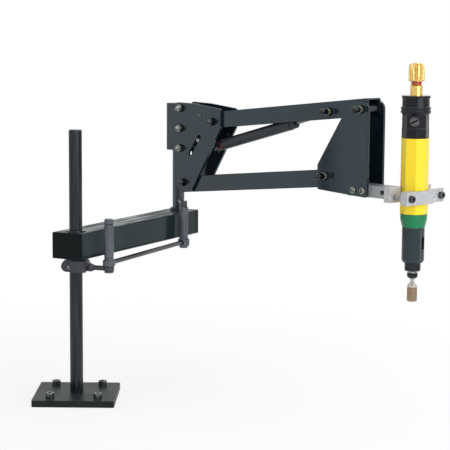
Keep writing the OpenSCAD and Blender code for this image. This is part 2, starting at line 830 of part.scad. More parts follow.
// Shouldered pin whose wide end lies in the plate's slot, seen from the plate's face
module slot_pin() union() {
    translate([0, 0, -side_t - anchor_screw_grip + seat_gap])
        cylinder(d = anchor_screw_d, h = anchor_screw_grip - seat_gap + over);
    translate([0, 0, -side_t]) cylinder(d = anchor_tip_d, h = side_t - anchor_tip_sunk);
}

module anchor_screws() color(zinc) at_elbow() {
    near_side(anchor_s, anchor_z) slot_pin();
    far_side(anchor_s, anchor_z) slot_pin();
    across(spring_pin_s, spring_pin_z, anchor_pin_d, -anchor_pin_end, anchor_pin_end);
}

// Shouldered bolt that goes in from the far side, its thread reaching past the near face
module pivot_bolt(reach) {
    translate([0, 0, -outer * 2]) cylinder(d = pin_d, h = outer * 2);
    translate([0, 0, -outer * 2 - reach]) cylinder(d = tip_d, h = reach + over);
    cylinder(d = washer_d, h = washer_t);
    translate([0, 0, washer_t]) linear_extrude(hex_h) hexagon(hex_w);
}

module pivot_nut() difference() {
    union() {
        cylinder(d = washer_d, h = washer_t);
        translate([0, 0, washer_t]) linear_extrude(hex_h) hexagon(hex_w);
    }
    translate([0, 0, -over]) cylinder(d = tip_d + seat_gap * 2, h = hex_h + washer_t + over * 2);
}

// Domed cap that closes a bolt's thread, standing on z = 0
module end_cap() difference() {
    dome(cap_d, cap_len);
    translate([0, 0, -over]) cylinder(d = tip_d + seat_gap * 2, h = over + cap_deep + seat_gap);
}

module elbow_pivot_bolts() color(zinc) at_elbow() {
    far_side(up_pin_s, up_pin_z) pivot_bolt(washer_t + hex_h + tip_out);
    far_side(low_pin_s, low_pin_z) pivot_bolt(washer_t + hex_h + tip_out);
}

module elbow_pivot_nuts() color(zinc) at_elbow() {
    near_side(up_pin_s, up_pin_z) pivot_nut();
    near_side(low_pin_s, low_pin_z) pivot_nut();
}

// Parallel arms: channels with turned-in pivots at both ends

// Channel along local X from the pin at 0, web towards web_side
module channel(z_high, web_side, x0, x1) {
    z_low = z_high - arm_h;
    inner_high = web_side > 0 ? z_high - arm_wall : z_high + over;
    inner_low = web_side > 0 ? z_low - over : z_low + arm_wall;
    difference() {
        upright_plate([[x0, z_low, arm_corner], [x1, z_low, arm_corner], [x1, z_high, arm_corner],
            [x0, z_high, arm_corner]], -arm_w / 2, arm_w / 2);
        translate([x0 - over, -arm_w / 2 + arm_wall, inner_low])
            cube([x1 - x0 + over * 2, arm_w - arm_wall * 2, inner_high - inner_low]);
        for (x = [0, arm_len]) across(x, 0, arm_bush_d + seat_gap * 2, -arm_w, arm_w);
        if (web_side > 0) across(spring_top_s, top_pin_dz, pin_d + seat_gap * 2, -arm_w, arm_w);
    }
}
top_pin_dz = spring_top_s * sin(top_pin_lift);

module on_upper_arm() at_elbow() translate([up_pin_s, 0, up_pin_z]) rotate([0, -arm_rise, 0]) children();
module on_lower_arm() at_elbow() translate([low_pin_s, 0, low_pin_z]) rotate([0, -arm_rise, 0]) children();

module upper_arm() color(paint) on_upper_arm() channel(up_over, 1, -end_back, arm_len + end_front);
module lower_arm() color(paint) on_lower_arm() channel(low_over, -1, -end_back, arm_len + end_back);

module arm_bushes() for (x = [0, arm_len]) difference() {
    across(x, 0, arm_bush_d, -arm_w / 2, arm_w / 2);
    across(x, 0, pin_d + run_gap * 2, -arm_w, arm_w);
}
module upper_arm_bushes() color(bronze) on_upper_arm() arm_bushes();
module lower_arm_bushes() color(bronze) on_lower_arm() arm_bushes();

// Gas spring

module on_spring() at_elbow() translate([spring_pin_s, 0, spring_pin_z]) rotate([0, -spring_tilt, 0])
    children();

module spring_cylinder() color(barrel_grey) on_spring() difference() {
    union() {
        across(0, 0, spring_eye_d, -spring_eye_w / 2, spring_eye_w / 2);
        rotate([0, 90, 0]) rotate_extrude()
            polygon([[0, spring_pin_clear], [spring_eye_w / 2, spring_pin_clear],
            [spring_eye_w / 2, spring_neck], [spring_d / 2 - barrel_groove, spring_neck],
            [spring_d / 2, spring_neck + barrel_groove],
                [spring_d / 2, spring_neck + spring_len - spring_cap_len],
            [spring_cap_d / 2, spring_neck + spring_len - spring_cap_len],
                [spring_cap_d / 2, spring_neck + spring_len - barrel_groove],
            [spring_cap_d / 2 - barrel_groove, spring_neck + spring_len], [0, spring_neck + spring_len]]);
    }
    across(0, 0, anchor_pin_d + run_gap * 2, -spring_eye_w, spring_eye_w);
    translate([spring_neck + spring_len - spring_bore_len, 0, 0]) rotate([0, 90, 0])
        cylinder(d = spring_bore, h = spring_len);
}
spring_pin_clear = anchor_pin_d / 2 + run_gap;

module spring_rod() color(steel_dark) on_spring() difference() {
    union() {
        across(spring_span + top_shift_x, top_shift_z, top_eye_d, -top_eye_w / 2, top_eye_w / 2);
        translate([spring_neck + spring_len - rod_end_in, 0, 0]) rotate([0, 90, 0])
            cylinder(d = spring_rod_d,
                h = spring_span - top_eye_d / 3 - spring_neck - spring_len + rod_end_in);
    }
    across(spring_span + top_shift_x, top_shift_z, pin_d + top_slack * 2, -top_eye_w, top_eye_w);
}

module spring_top_bolt() color(zinc) on_upper_arm() translate([spring_top_s, 0, top_pin_dz]) {
    y1 = arm_w / 2;
    rotate([90, 0, 0]) translate([0, 0, -y1]) cylinder(d = pin_d, h = arm_w);
    for (side = [-1, 1]) rotate([side * 90, 0, 0]) translate([0, 0, y1]) {
        cylinder(d = washer_d, h = washer_t);
        translate([0, 0, washer_t]) linear_extrude(hex_h) hexagon(hex_w);
        if (side > 0) translate([0, 0, washer_t + hex_h]) dome(cap_d, cap_len);
    }
}

// Head bracket

head_outline = [[head_back_s, head_low_back_z, head_small_corner],
    [head_front_s, head_low_front_z, head_small_corner],
    [head_front_s, head_top_z, head_corner], [head_top_back_s, head_top_z, head_corner],
    [head_back_s, head_knee_z, head_small_corner]];
holder_screw_places = [holder_screw_back_s, holder_screw_front_s];

module head_plate(y0, y1) difference() {
    upright_plate(head_outline, y0, y1);
    across(head_up_s, head_up_z, pin_d + seat_gap * 2, -outer - over, outer + over);
    across(head_low_s, head_low_z, pin_d + seat_gap * 2, -outer - over, outer + over);
    for (s = holder_screw_places) across(s, bar_z, holder_screw_d + seat_gap * 2, -outer - over,
        outer + over);
}
module head_near_plate() color(paint) at_elbow() head_plate(-outer, -half_gap);
module head_far_plate() color(paint) at_elbow() head_plate(half_gap, outer);

// Bolts from the far side, each with a nut and a domed cap on the near end
module head_pivot_bolts() at_elbow() for (p = [[head_up_s, head_up_z], [head_low_s, head_low_z]]) {
    color(zinc) far_side(p[0], p[1]) pivot_bolt(washer_t + hex_h + cap_deep);
    color(zinc) near_side(p[0], p[1]) pivot_nut();
    color(black) near_side(p[0], p[1]) translate([0, 0, washer_t + hex_h]) end_cap();
}

module holder_bar() color(bare_alu) at_elbow() difference() {
    union() {
        translate([bar_back_s, -half_gap + seat_gap, bar_z - bar_h / 2])
            cube([head_front_s - bar_shoulder - bar_back_s, plate_gap - seat_gap * 2, bar_h]);
        translate([bar_back_s, -bar_w / 2, bar_z - bar_h / 2]) cube([bar_end_s - bar_back_s, bar_w, bar_h]);
    }
    for (s = holder_screw_places, side = [-1, 1]) across(s, bar_z, holder_screw_d + seat_gap * 2,
        side > 0 ? half_gap - holder_screw_grip : -outer, side > 0 ? outer : -half_gap + holder_screw_grip);
    translate([bar_end_s - pocket_back - pocket_w / 2, -half_gap - over, bar_z - pocket_h / 2])
        cube([pocket_w, half_gap + pocket_in + over, pocket_h]);
    translate([bar_end_s - pocket_back, 0, bar_z]) rotate([0, 90, 0])
        cylinder(d = jaw_screw_d + seat_gap * 2, h = pocket_back + over);
}

module holder_screws() color(zinc) at_elbow() {
    for (s = holder_screw_places) {
        near_side(s, bar_z) button_screw(holder_screw_d, side_t + holder_screw_grip - seat_gap,
            holder_head_d, holder_head_h);
        far_side(s, bar_z) button_screw(holder_screw_d, side_t + holder_screw_grip - seat_gap,
            holder_head_d, holder_head_h);
    }
    // Screw that draws the rear jaw onto the bar, into a square nut in the pocket
    translate([bar_end_s - pocket_back, 0, bar_z]) rotate([0, 90, 0])
        cylinder(d = jaw_screw_d, h = pocket_back + jaw_screw_in);
    translate([bar_end_s - pocket_back - pocket_w / 2 + seat_gap, -pocket_in + seat_gap,
        bar_z - pocket_h / 2 + seat_gap])
        cube([pocket_w - seat_gap * 2, pocket_in * 2 - seat_gap * 2, pocket_h - seat_gap * 2]);
}
jaw_screw_d = 5;
jaw_screw_in = 1.2;

// Clamp jaws

module jaw_screw_holes(s0, s1) for (m = clamp_places) translate([s0, m, clamp_z]) rotate([0, 90, 0])
    cylinder(d = clamp_screw_d + seat_gap * 2, h = s1 - s0);

module jaw_block(points, z, h) translate([0, 0, z - h / 2]) linear_extrude(h)
    polygon(outline(points));

module rear_jaw() color(bare_alu) at_elbow() translate([tool_reach, 0, 0]) difference() {
    jaw_block([[-jaw_back, -jaw_near, jaw_chamfer], [-jaw_inner, -jaw_near, jaw_chamfer],
        [-jaw_inner, jaw_far, jaw_chamfer], [-jaw_back, jaw_far, jaw_chamfer]], jaw_z, jaw_h);
    upright(body_d + tool_seat_gap * 2, jaw_z - jaw_h, jaw_z + jaw_h);
    jaw_screw_holes(-jaw_back - over, -jaw_inner + over);
    translate([-jaw_back - over, 0, bar_z]) rotate([0, 90, 0])
        cylinder(d = jaw_screw_d + seat_gap * 2, h = over + jaw_screw_in + seat_gap);
}

module front_jaw() color(bare_alu) at_elbow() translate([tool_reach, 0, 0]) difference() {
    jaw_block([[jaw_inner, -jaw_near, jaw_chamfer], [jaw_back, -jaw_near, jaw_chamfer],
        [jaw_back, jaw_step_m - jaw_step_s / 2, jaw_step_r],
            [jaw_back - jaw_step_s, jaw_step_m + jaw_step_s / 2, jaw_step_r],
        [jaw_back - jaw_step_s, jaw_far, jaw_chamfer], [jaw_inner, jaw_far, jaw_chamfer]],
        clamp_z, front_jaw_h);
    upright(body_d + tool_seat_gap * 2, jaw_z - jaw_h, jaw_z + jaw_h);
    jaw_screw_holes(jaw_inner - over, jaw_back + over);
    translate([jaw_back - clamp_sink, -clamp_near, clamp_z]) rotate([0, 90, 0])
        cylinder(d = clamp_head_d + seat_gap * 2, h = jaw_back);
}

module clamp_screws() color(black) at_elbow() for (m = clamp_places) {
    sink = m < 0 ? clamp_sink : jaw_step_s;
    translate([tool_reach + jaw_back - sink, m, clamp_z]) rotate([0, 90, 0])
        cap_screw(clamp_screw_d, clamp_deep - sink, clamp_head_d, clamp_head_h, clamp_key_d,
            clamp_key_depth);
}

// Pneumatic driver, held in the jaws

head_top_z2 = body_top_z + head_top_dz;
body_bore = body_d - body_wall * 2;

// Eight-sided bar between two heights, two of its corners in line with the arm
module eight_sided(d, z0, z1) rotate(-arm_heading) translate([0, 0, z0])
    linear_extrude(z1 - z0) circle(d = d, $fn = body_sides);

module driver_body() color(yellow) at_tool() difference() {
    intersection() {
        eight_sided(body_d, body_low_z, body_top_z);
        rotate_extrude() polygon([[0, body_low_z], [body_d * body_end_share / 2, body_low_z],
            [body_d / 2 + over, body_low_z + body_end_h], [body_d / 2 + over, body_top_z - body_end_h],
            [body_d * body_end_share / 2, body_top_z], [0, body_top_z]]);
    }
    upright(body_bore, body_low_z - over, body_top_z + over);
}

module driver_head() color(black) at_tool() difference() {
    union() {
        eight_sided(body_d * head_band_share, body_top_z, body_top_z + head_band_h);
        eight_sided(body_d * head_flats_share, body_top_z, body_top_z + head_flats_h);
        rotate_extrude() polygon(concat([[0, body_top_z + head_band_h],
            [body_bore / 2, body_top_z + head_band_h]],
            [[body_bore / 2, body_top_z + head_flats_h]],
            [for (i = [0:len(head_z) - 1]) [head_r_shares[i] * body_d / 2, body_top_z + head_z[i]]],
                [[0, head_top_z2]]));
    }
    translate([0, 0, body_top_z + knob_dz]) rotate(knob_heading) rotate([0, 90, 0]) {
        translate([0, 0, knob_seat - knob_pocket]) cylinder(d = knob_stem_d + run_gap * 2, h = body_d);
        translate([0, 0, knob_seat]) cylinder(d = knob_d + side_play * 2, h = body_d);
    }
    upright(coupler_bore, head_top_z2 - stem_seat, head_top_z2 + over);
}
knob_pocket = 6;
stem_seat = 8;

module selector_knob() color([0.3, 0.31, 0.32]) at_tool()
    translate([0, 0, body_top_z + knob_dz]) rotate(knob_heading) rotate([0, 90, 0]) {
    translate([0, 0, knob_seat - knob_pocket + side_play])
        cylinder(d = knob_stem_d, h = knob_pocket + over);
    difference() {
        translate([0, 0, knob_seat + side_play]) cylinder(d = knob_d, h = knob_h);
        translate([0, 0, knob_seat + side_play + knob_h])
            cube([knob_d * 2, knob_slot_w, knob_slot_h], center = true);
    }
}

module inlet_stem() color(brass) at_tool() difference() {
    rotate_extrude() polygon([[0, head_top_z2 - stem_seat],
        [coupler_bore / 2 - seat_gap, head_top_z2 - stem_seat],
        [coupler_bore / 2 - seat_gap, head_top_z2], [stem_d / 2, head_top_z2],
            [stem_d / 2, head_top_z2 + stem_h - pin_chamfer],
        [stem_d / 2 - pin_chamfer, head_top_z2 + stem_h], [seal_d / 2, head_top_z2 + stem_h],
        [seal_d / 2, head_top_z2 + stem_h + seal_h], [coupler_bore / 2, head_top_z2 + stem_h + seal_h],
        [coupler_bore / 2, coupler_top_z], [0, coupler_top_z]]);
    upright(inlet_bore, head_top_z2 + over, coupler_top_z + over);
}
coupler_top_z = head_top_z2 + coupler_low_dz - head_top_dz + coupler_h;
inlet_bore = 7;

module coupler_sleeve() color(brass) at_tool()
    translate([0, 0, head_top_z2 + coupler_low_dz - head_top_dz]) difference() {
    rotate_extrude() {
        r = coupler_d / 2;
        bore = coupler_bore / 2 + run_gap;
        polygon([[bore, sleeve_relief], [seal_d / 2 + run_gap, sleeve_relief], [seal_d / 2 + run_gap, 0],
            [r - pin_chamfer, 0], [r, pin_chamfer], [r, coupler_h - pin_chamfer * 2],
            [r - pin_chamfer * 2, coupler_h - sleeve_drop], [bore, coupler_h - sleeve_drop]]);
    }
    for (i = [0:knurl_count - 1]) rotate(i * 360 / knurl_count) translate([coupler_d / 2, 0, -over])
        cylinder(d = coupler_d * sin(180 / knurl_count) * knurl_share, h = coupler_h + over * 2, $fn = 4);
}
knurl_share = 0.8;

module clutch_ring() color([0.12, 0.55, 0.35]) at_tool() rotate_extrude()
    polygon([[gear_d / 2 + seat_gap, ring_low_z],
    [nose_d / 2, ring_low_z], [body_d * ring_r_share / 2, ring_low_z + (body_low_z - ring_low_z)
        * ring_cone_share],
    [body_d * ring_r_share / 2, body_low_z], [gear_d / 2 + seat_gap, body_low_z]]);
ring_r_share = 0.965;
ring_cone_share = 0.6;

module nose_housing() color([0.23, 0.26, 0.28]) at_tool() difference() {
    rotate_extrude() polygon([[0, nose_low_z], [nose_d / 2 - nose_chamfer, nose_low_z],
        [nose_d / 2, nose_low_z + nose_chamfer_h],
        [nose_d / 2, ring_low_z], [0, ring_low_z]]);
    upright(gear_d - body_wall, nose_low_z + body_wall, ring_low_z + over);
    upright(spindle_d + side_play * 2, nose_low_z - over, ring_low_z);
}
nose_chamfer = 2;
nose_chamfer_h = 3.4;

module nose_collar() color(steel_dark) at_tool() difference() {
    round_bar(nose_collar_d, nose_collar_low_z, nose_low_z, pin_chamfer);
    upright(spindle_d + run_gap * 2, nose_collar_low_z - over, nose_low_z + over);
}

module chuck_sleeve() color(steel_dark) at_tool() difference() {
    rotate_extrude() polygon([[0, chuck_low_z], [chuck_d / 2 - pin_chamfer * 2, chuck_low_z],
        [chuck_d / 2, chuck_low_z + pin_chamfer * 2],
        [chuck_d / 2, chuck_slide_z], [0, chuck_slide_z]]);
    upright(spindle_d + run_gap * 2, chuck_low_z - over, nose_low_z);
}
chuck_travel = 1.8;
chuck_slide_z = chuck_top_z - chuck_travel;

module drive_spindle() color(zinc) at_tool() {
    upright(spindle_d, chuck_low_z, gear_low_z - side_play);
    translate([0, 0, socket_top_z - shank_in])
        cylinder(d = shank_d, h = chuck_low_z + over - socket_top_z + shank_in);
}
shank_in = 6;

module bit_socket() color([0.5, 0.42, 0.36]) at_tool() difference() {
    rotate_extrude() {
        r = socket_d / 2;
        neck = socket_top_z - socket_ring;
        groove = pin_chamfer / 2;
        polygon([[0, socket_low_z], [r - pin_chamfer, socket_low_z], [r, socket_low_z + pin_chamfer],
            [r, neck - pin_chamfer],
            [r - groove, neck - groove], [r - groove, neck], [r, neck + groove],
                [r, socket_top_z - pin_chamfer],
            [r - pin_chamfer, socket_top_z], [shank_d / 2 + groove, socket_top_z + flare_h],
                [0, socket_top_z + flare_h]]);
    }
    upright(shank_d + seat_gap * 2, socket_top_z - shank_in - seat_gap, socket_top_z + flare_h + over);
    translate([0, 0, socket_low_z - over]) linear_extrude(hex_recess + over) hexagon(hex_recess_w);
}

module air_motor() color(steel_dark) at_tool() {
    upright(body_bore - seat_gap * 2, motor_low_z, motor_top_z);
    upright(rotor_d, gear_top_z, motor_low_z + over);
}
gear_top_z = 338;

module gear_unit() color(steel_dark) at_tool() upright(gear_d, gear_low_z, gear_top_z);

base_plate();
post();
base_screws();
collar_front();
collar_rear();
collar_screws();
crank_rod();
crank_foot();
crank_pin();
near_barrel();
near_rod_eye();
tie_rod();
far_barrel();
far_rod_eye();
beam_tube();
beam_end_caps();
bearing_tubes();
post_bushes();
elbow_bushes();
elbow_shaft();
shaft_rings();
elbow_crank();
hanger_pin();
shaft_block();
elbow_near_plate();
elbow_far_plate();
block_bolts();
plate_spacer();
spring_anchor();
anchor_screws();
elbow_pivot_bolts();
elbow_pivot_nuts();
upper_arm();
lower_arm();
upper_arm_bushes();
lower_arm_bushes();
spring_cylinder();
spring_rod();
spring_top_bolt();
head_near_plate();
head_far_plate();
head_pivot_bolts();
holder_bar();
holder_screws();
rear_jaw();
front_jaw();
clamp_screws();
driver_body();
driver_head();
inlet_stem();
coupler_sleeve();
selector_knob();
clutch_ring();
nose_housing();
nose_collar();
chuck_sleeve();
drive_spindle();
bit_socket();
air_motor();
gear_unit();
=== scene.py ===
"""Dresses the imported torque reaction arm: finishes, small pieces, stage and camera."""
import json
import math

import bmesh
import bpy
from mathutils import Matrix, Vector


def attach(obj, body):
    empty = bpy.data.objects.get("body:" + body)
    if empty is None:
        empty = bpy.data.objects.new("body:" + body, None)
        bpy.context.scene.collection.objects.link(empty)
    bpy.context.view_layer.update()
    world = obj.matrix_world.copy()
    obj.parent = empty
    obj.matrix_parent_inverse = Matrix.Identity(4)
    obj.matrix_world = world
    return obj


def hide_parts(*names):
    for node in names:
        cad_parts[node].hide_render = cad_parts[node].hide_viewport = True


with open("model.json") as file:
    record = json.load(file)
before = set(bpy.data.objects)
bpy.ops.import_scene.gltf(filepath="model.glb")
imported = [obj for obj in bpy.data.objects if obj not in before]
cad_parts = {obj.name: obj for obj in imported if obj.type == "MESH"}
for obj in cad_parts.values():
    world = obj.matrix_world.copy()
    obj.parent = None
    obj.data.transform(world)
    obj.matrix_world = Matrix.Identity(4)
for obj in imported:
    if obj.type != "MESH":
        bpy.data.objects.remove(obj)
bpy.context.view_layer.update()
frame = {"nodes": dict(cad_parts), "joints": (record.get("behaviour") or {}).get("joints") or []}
NODES = frame["nodes"]
JOINTS = {j["name"]: j for j in frame["joints"]}

bl_info = {
    "name": "Torque reaction arm",
    "version": (1, 0, 0),
    "blender": (4, 5, 0),
    "location": "View3D > Sidebar > Torque arm",
    "description": "Finishes and small pieces of a bench torque reaction arm",
    "category": "Object",
}

MM = 0.001
ARM_HEADING = math.radians(-46)
BEAM_HEADING = math.radians(62.4)
ALONG = Vector((math.cos(ARM_HEADING), math.sin(ARM_HEADING), 0))
NEAR = Vector((math.sin(ARM_HEADING), -math.cos(ARM_HEADING), 0))
ELBOW = Vector(JOINTS["elbow_turn"]["pos_m"])
TOOL = Vector(JOINTS["spindle_spin"]["pos_m"])


def on_arm(s, y, z):
    """A place in the arm's own frame, in millimetres, as a place in the object's frame."""
    c, d = math.cos(ARM_HEADING), math.sin(ARM_HEADING)
    return Vector((ELBOW.x + (s * c - y * d) * MM, ELBOW.y + (s * d + y * c) * MM, z * MM))


def pin_of(joint):
    """Distance ahead of the elbow shaft and height, in millimetres, of a joint of the arm."""
    place = Vector(JOINTS[joint]["pos_m"])
    return ((place - ELBOW).dot(ALONG) / MM, place.z / MM)


# Sizes in mm, as in the part's source. Places on the arm are (distance ahead of the elbow shaft, height).
UP_PIN, LOW_PIN, HEAD_UP = pin_of("arm_lift"), pin_of("lower_arm_turn"), pin_of("head_level")
HEAD_LOW = (HEAD_UP[0] + LOW_PIN[0] - UP_PIN[0], HEAD_UP[1] + LOW_PIN[1] - UP_PIN[1])
SPRING_REACH = 254.3        # from the elbow's upper pin to the spring's top bolt
SPRING_RISE = math.atan2(HEAD_UP[1] - UP_PIN[1], HEAD_UP[0] - UP_PIN[0]) + math.radians(0.15)
SPRING_TOP = (UP_PIN[0] + SPRING_REACH * math.cos(SPRING_RISE), UP_PIN[1] + SPRING_REACH * math.sin(SPRING_RISE))
SPRING_SEAT = (67.24, 380.4)
SPACER = (73.9, 422.1)
STUD_S, STUD_HEIGHTS = 26.5, (365.2, 398.2, 431.2)
HOLDER_SCREWS, HOLDER_Z = (410.0, 429.0), 327.0
POCKET_S = 462.3
JAW_FACE, JAW_Z = 534.2, 325.3
JAW_SCREWS = ((-33.0, 1.0), (42.0, 8.0))    # place across the arm, and how far the head sits back
PLATE_OUT = 19.0            # outer faces of the bracket and the head, from the arm's middle
CHANNEL_OUT = 14.7          # outer faces of the upper arm

BASE_TOP = 10.0
BENCH_SCREW_X, BENCH_SCREW_Y = 36, 42
COLLAR_SCREW_X, COLLAR_SCREW_Y, COLLAR_SCREW_Z = 14.6, 12.0, 210.6
GRUB_SCREW = (-9.2, -12.0, 204.4)

DIAL_TURN = math.radians(-101)
DIAL_OUT = 17.3             # seat of the selector dial, from the driver's middle
DIAL_Z = 434.3
SLEEVE_Z = 491.2
SEAL_Z = 486.1
SOCKET_FOOT = 171.5
NOSE_R = 16.5

# Studs, bolts and nuts of the bracket and the head; spans are (bottom, top) above the plate
THREAD_D = 6.0
THREAD_SPAN = (1.0, 11.5)
THREAD_HOLLOW = 2.6
NUT_FLATS = 10.0
NUT_BORE = 6.1
NUT_SPAN = (1.2, 6.0)
WASHER_D = 13.4
WASHER_T = 1.15
CAP_D = 9.4
CAP_SPAN = (6.05, 19.0)
PIVOT_D = 7.9

FINE_PITCH, COARSE_PITCH = 1.0, 1.25
MAIN, SECOND, THIRD = 0, 1, 2   # material slots of a piece


def lin(*rgb):
    """Screen colour, 0 to 255, as linear light."""
    return tuple((c / 255 / 12.92) if c <= 10.3 else ((c / 255 + 0.055) / 1.055) ** 2.4 for c in rgb)


def scaled(colour, by):
    return tuple(c * by for c in colour)


# Shader maths

class Wire:
    """A socket; arithmetic on it adds Math nodes."""

    def __init__(self, shader, socket):
        self.shader, self.socket = shader, socket

    def _math(self, operation, a, b):
        return self.shader.add("ShaderNodeMath", {"operation": operation}, {0: a, 1: b})

    def __add__(self, other):
        return self._math("ADD", self, other)

    def __sub__(self, other):
        return self._math("SUBTRACT", self, other)

    def __rsub__(self, other):
        return self._math("SUBTRACT", other, self)

    def __mul__(self, other):
        return self._math("MULTIPLY", self, other)

    __radd__, __rmul__ = __add__, __mul__


class Shader:
    """The emptied node tree of a material or a world."""

    def __init__(self, owner):
        owner.use_nodes = True
        self.tree = owner.node_tree
        self.tree.nodes.clear()
        self._place = None

    def put(self, socket, value):
        if isinstance(value, Wire):
            self.tree.links.new(value.socket, socket)
        elif socket.type == "RGBA" and len(value) == 3:
            socket.default_value = (*value, 1.0)
        else:
            socket.default_value = value

    def add(self, kind, settings, values, out=0):
        """A node of a kind with its settings, and the values or links of its sockets."""
        node = self.tree.nodes.new(kind)
        for key, value in settings.items():
            setattr(node, key, value)
        for key, value in values.items():
            self.put(node.inputs[key], value)
        return Wire(self, node.outputs[out]) if node.outputs else None

    def place(self):
        if self._place is None:
            self._place = self.add("ShaderNodeTexCoord", {}, {}, "Object")
        return self._place

    def mapped(self, scale, turn=(0, 0, 0)):
        return self.add("ShaderNodeMapping", {"vector_type": "TEXTURE"},
                        {"Vector": self.place(), "Rotation": turn, "Scale": tuple(1 / s for s in scale)})

    def noise(self, scale, detail, vector=None, roughness=0.5):
        return self.add("ShaderNodeTexNoise", {}, {"Vector": vector or self.place(), "Scale": scale,
                                                  "Detail": detail, "Roughness": roughness})

    def ramp(self, value, low, high):
        """Value from low..high, stretched to 0..1."""
        return self.add("ShaderNodeMapRange", {"clamp": True}, {0: value, 1: low, 2: high})

    def swing(self, noise, by):
        """Noise as a number that swings about 0 and reaches half of by."""
        return (self.ramp(noise, 0.3, 0.7) - 0.5) * by

    def mix(self, factor, a, b):
        return self.add("ShaderNodeMix", {"data_type": "RGBA"}, {0: factor, 6: a, 7: b}, 2)

    def dot(self, a, b):
        return self.add("ShaderNodeVectorMath", {"operation": "DOT_PRODUCT"}, {0: a, 1: b}, "Value")

    def rounded(self, radius):
        return self.add("ShaderNodeBevel", {"samples": 4}, {"Radius": radius})

    def edge(self, rounded):
        """1 on sharp edges, 0 on open faces."""
        plain = self.add("ShaderNodeNewGeometry", {}, {}, "Normal")
        return self.ramp(1 - self.dot(rounded, plain), 0.01, 0.12)

    def bump(self, height, strength, normal, distance):
        return self.add("ShaderNodeBump", {}, {"Height": height, "Strength": strength, "Distance": distance,
                                              "Normal": normal})

    def seen_by(self, *rays):
        """1 for the named kinds of ray, 0 for others."""
        total = sum(self.add("ShaderNodeLightPath", {}, {}, f"Is {ray} Ray") for ray in rays)
        return self.add("ShaderNodeClamp", {}, {"Value": total})


class Finish(Shader):
    """A named material with one shader for its surface."""

    def __init__(self, name):
        self.material = bpy.data.materials.new(name)
        super().__init__(self.material)

    def made(self, **sockets):
        """The material, once its shader has the values or links of its sockets."""
        values = {name.replace("_", " "): value for name, value in sockets.items()}
        self.add("ShaderNodeOutputMaterial", {}, {0: self.add("ShaderNodeBsdfPrincipled", {}, values)})
        return self.material


def paint(name, colour, roughness, radius=0.001, edges=0.8, grain=0.03, specular=0.55,
          sheen=(0.8, 0.95, 1.0), haze=0.0, painted_shade_from=None):
    """Dark enamel: fine orange peel, cloudy tone, softened edges darkened as painted shade, and hazy upper faces.

    Past a given distance along the beam, in metres, it is black, a painted shade, and the haze above is streaky."""
    s = Finish(name)
    normal = s.rounded(radius)
    cloud = s.noise(14, 3)
    peel = s.noise(900, 2)
    speck = s.noise(2600, 1)
    tone = s.mix(s.ramp(cloud, 0.35, 0.65), scaled(colour, 0.85), scaled(colour, 1.15))
    # Painted shade along the edges: a darker colour there, made metallic so that their reflection darkens too.
    rim = s.edge(normal) * edges
    base = s.mix(rim, tone, scaled(colour, 0.2))
    rough = roughness + s.swing(peel, 0.06) + s.swing(cloud, 0.06)
    if painted_shade_from:
        # Black past that distance along the beam: painted shade.
        reach = s.dot(s.place(), (math.cos(BEAM_HEADING), math.sin(BEAM_HEADING), 0))
        base = s.mix(s.ramp(reach, painted_shade_from, painted_shade_from + 0.002), base, lin(4, 5, 5))
        streaks = s.noise(1, 3, s.mapped((9, 150, 150), (0, 0, BEAM_HEADING)), 0.6)
        haze = 0.08 + s.ramp(streaks, 0.44, 0.58) * 0.34
    if haze:
        rough = rough + s.ramp(s.dot(normal, (0, 0, 1)), 0.7, 0.95) * haze
    return s.made(Base_Color=base, Metallic=rim, Roughness=rough, Specular_IOR_Level=specular,
                  Specular_Tint=sheen, Normal=s.bump(peel + speck * 0.4, grain, normal, 0.0004))


def cast_paint(name, colour, roughness=0.5):
    """Enamel over a rough casting, for the barrels and the collar."""
    s = Finish(name)
    normal = s.rounded(0.0006)
    pits = s.noise(520, 4, roughness=0.65)
    cloud = s.noise(60, 3)
    tone = s.mix(s.ramp(cloud, 0.35, 0.65), scaled(colour, 0.8), scaled(colour, 1.2))
    base = s.mix(s.edge(normal) * 0.3, tone, scaled(colour, 0.25))
    rough = roughness + s.swing(pits, 0.2)
    return s.made(Base_Color=base, Roughness=rough, Normal=s.bump(pits, 0.35, normal, 0.0005))


def bar_steel(name, colour, roughness, metallic, lines=(30, 30, 30), radius=0.0004, edge_highlight=None):
    """Drawn bar: cloudy blued tone and fine marks, both stretched along its length; lines is their scale."""
    s = Finish(name)
    normal = s.rounded(radius)
    marks = s.noise(1, 4, s.mapped(scaled(lines, 12)), 0.6)
    cloud = s.noise(1, 3, s.mapped(lines))
    tone = s.mix(s.ramp(cloud, 0.3, 0.7), scaled(colour, 0.55), scaled(colour, 1.45))
    edge = s.edge(normal)
    # A light edge colour, when given, is a painted highlight along the edges.
    base = s.mix(edge * 0.8, tone, edge_highlight) if edge_highlight else s.mix(edge * 0.3, tone, scaled(colour, 0.4))
    rough = roughness + s.swing(marks, 0.16)
    return s.made(Base_Color=base, Metallic=metallic, Roughness=rough, Normal=s.bump(marks, 0.06, normal, 0.0003))


def plated(name, colour, tint, roughness, radius=0.0003, metallic=1.0, grain=0.06):
    """Plated steel or brass: bright, with a faint cloud and dull corners."""
    s = Finish(name)
    normal = s.rounded(radius)
    cloud = s.noise(260, 3)
    fine = s.noise(1800, 2)
    tone = s.mix(s.ramp(cloud, 0.42, 0.66), colour, tint)
    base = s.mix(s.edge(normal) * 0.35, tone, scaled(colour, 0.35))
    rough = roughness + s.swing(fine, 0.2)
    return s.made(Base_Color=base, Metallic=metallic, Roughness=rough, Normal=s.bump(fine, grain, normal, 0.0002))


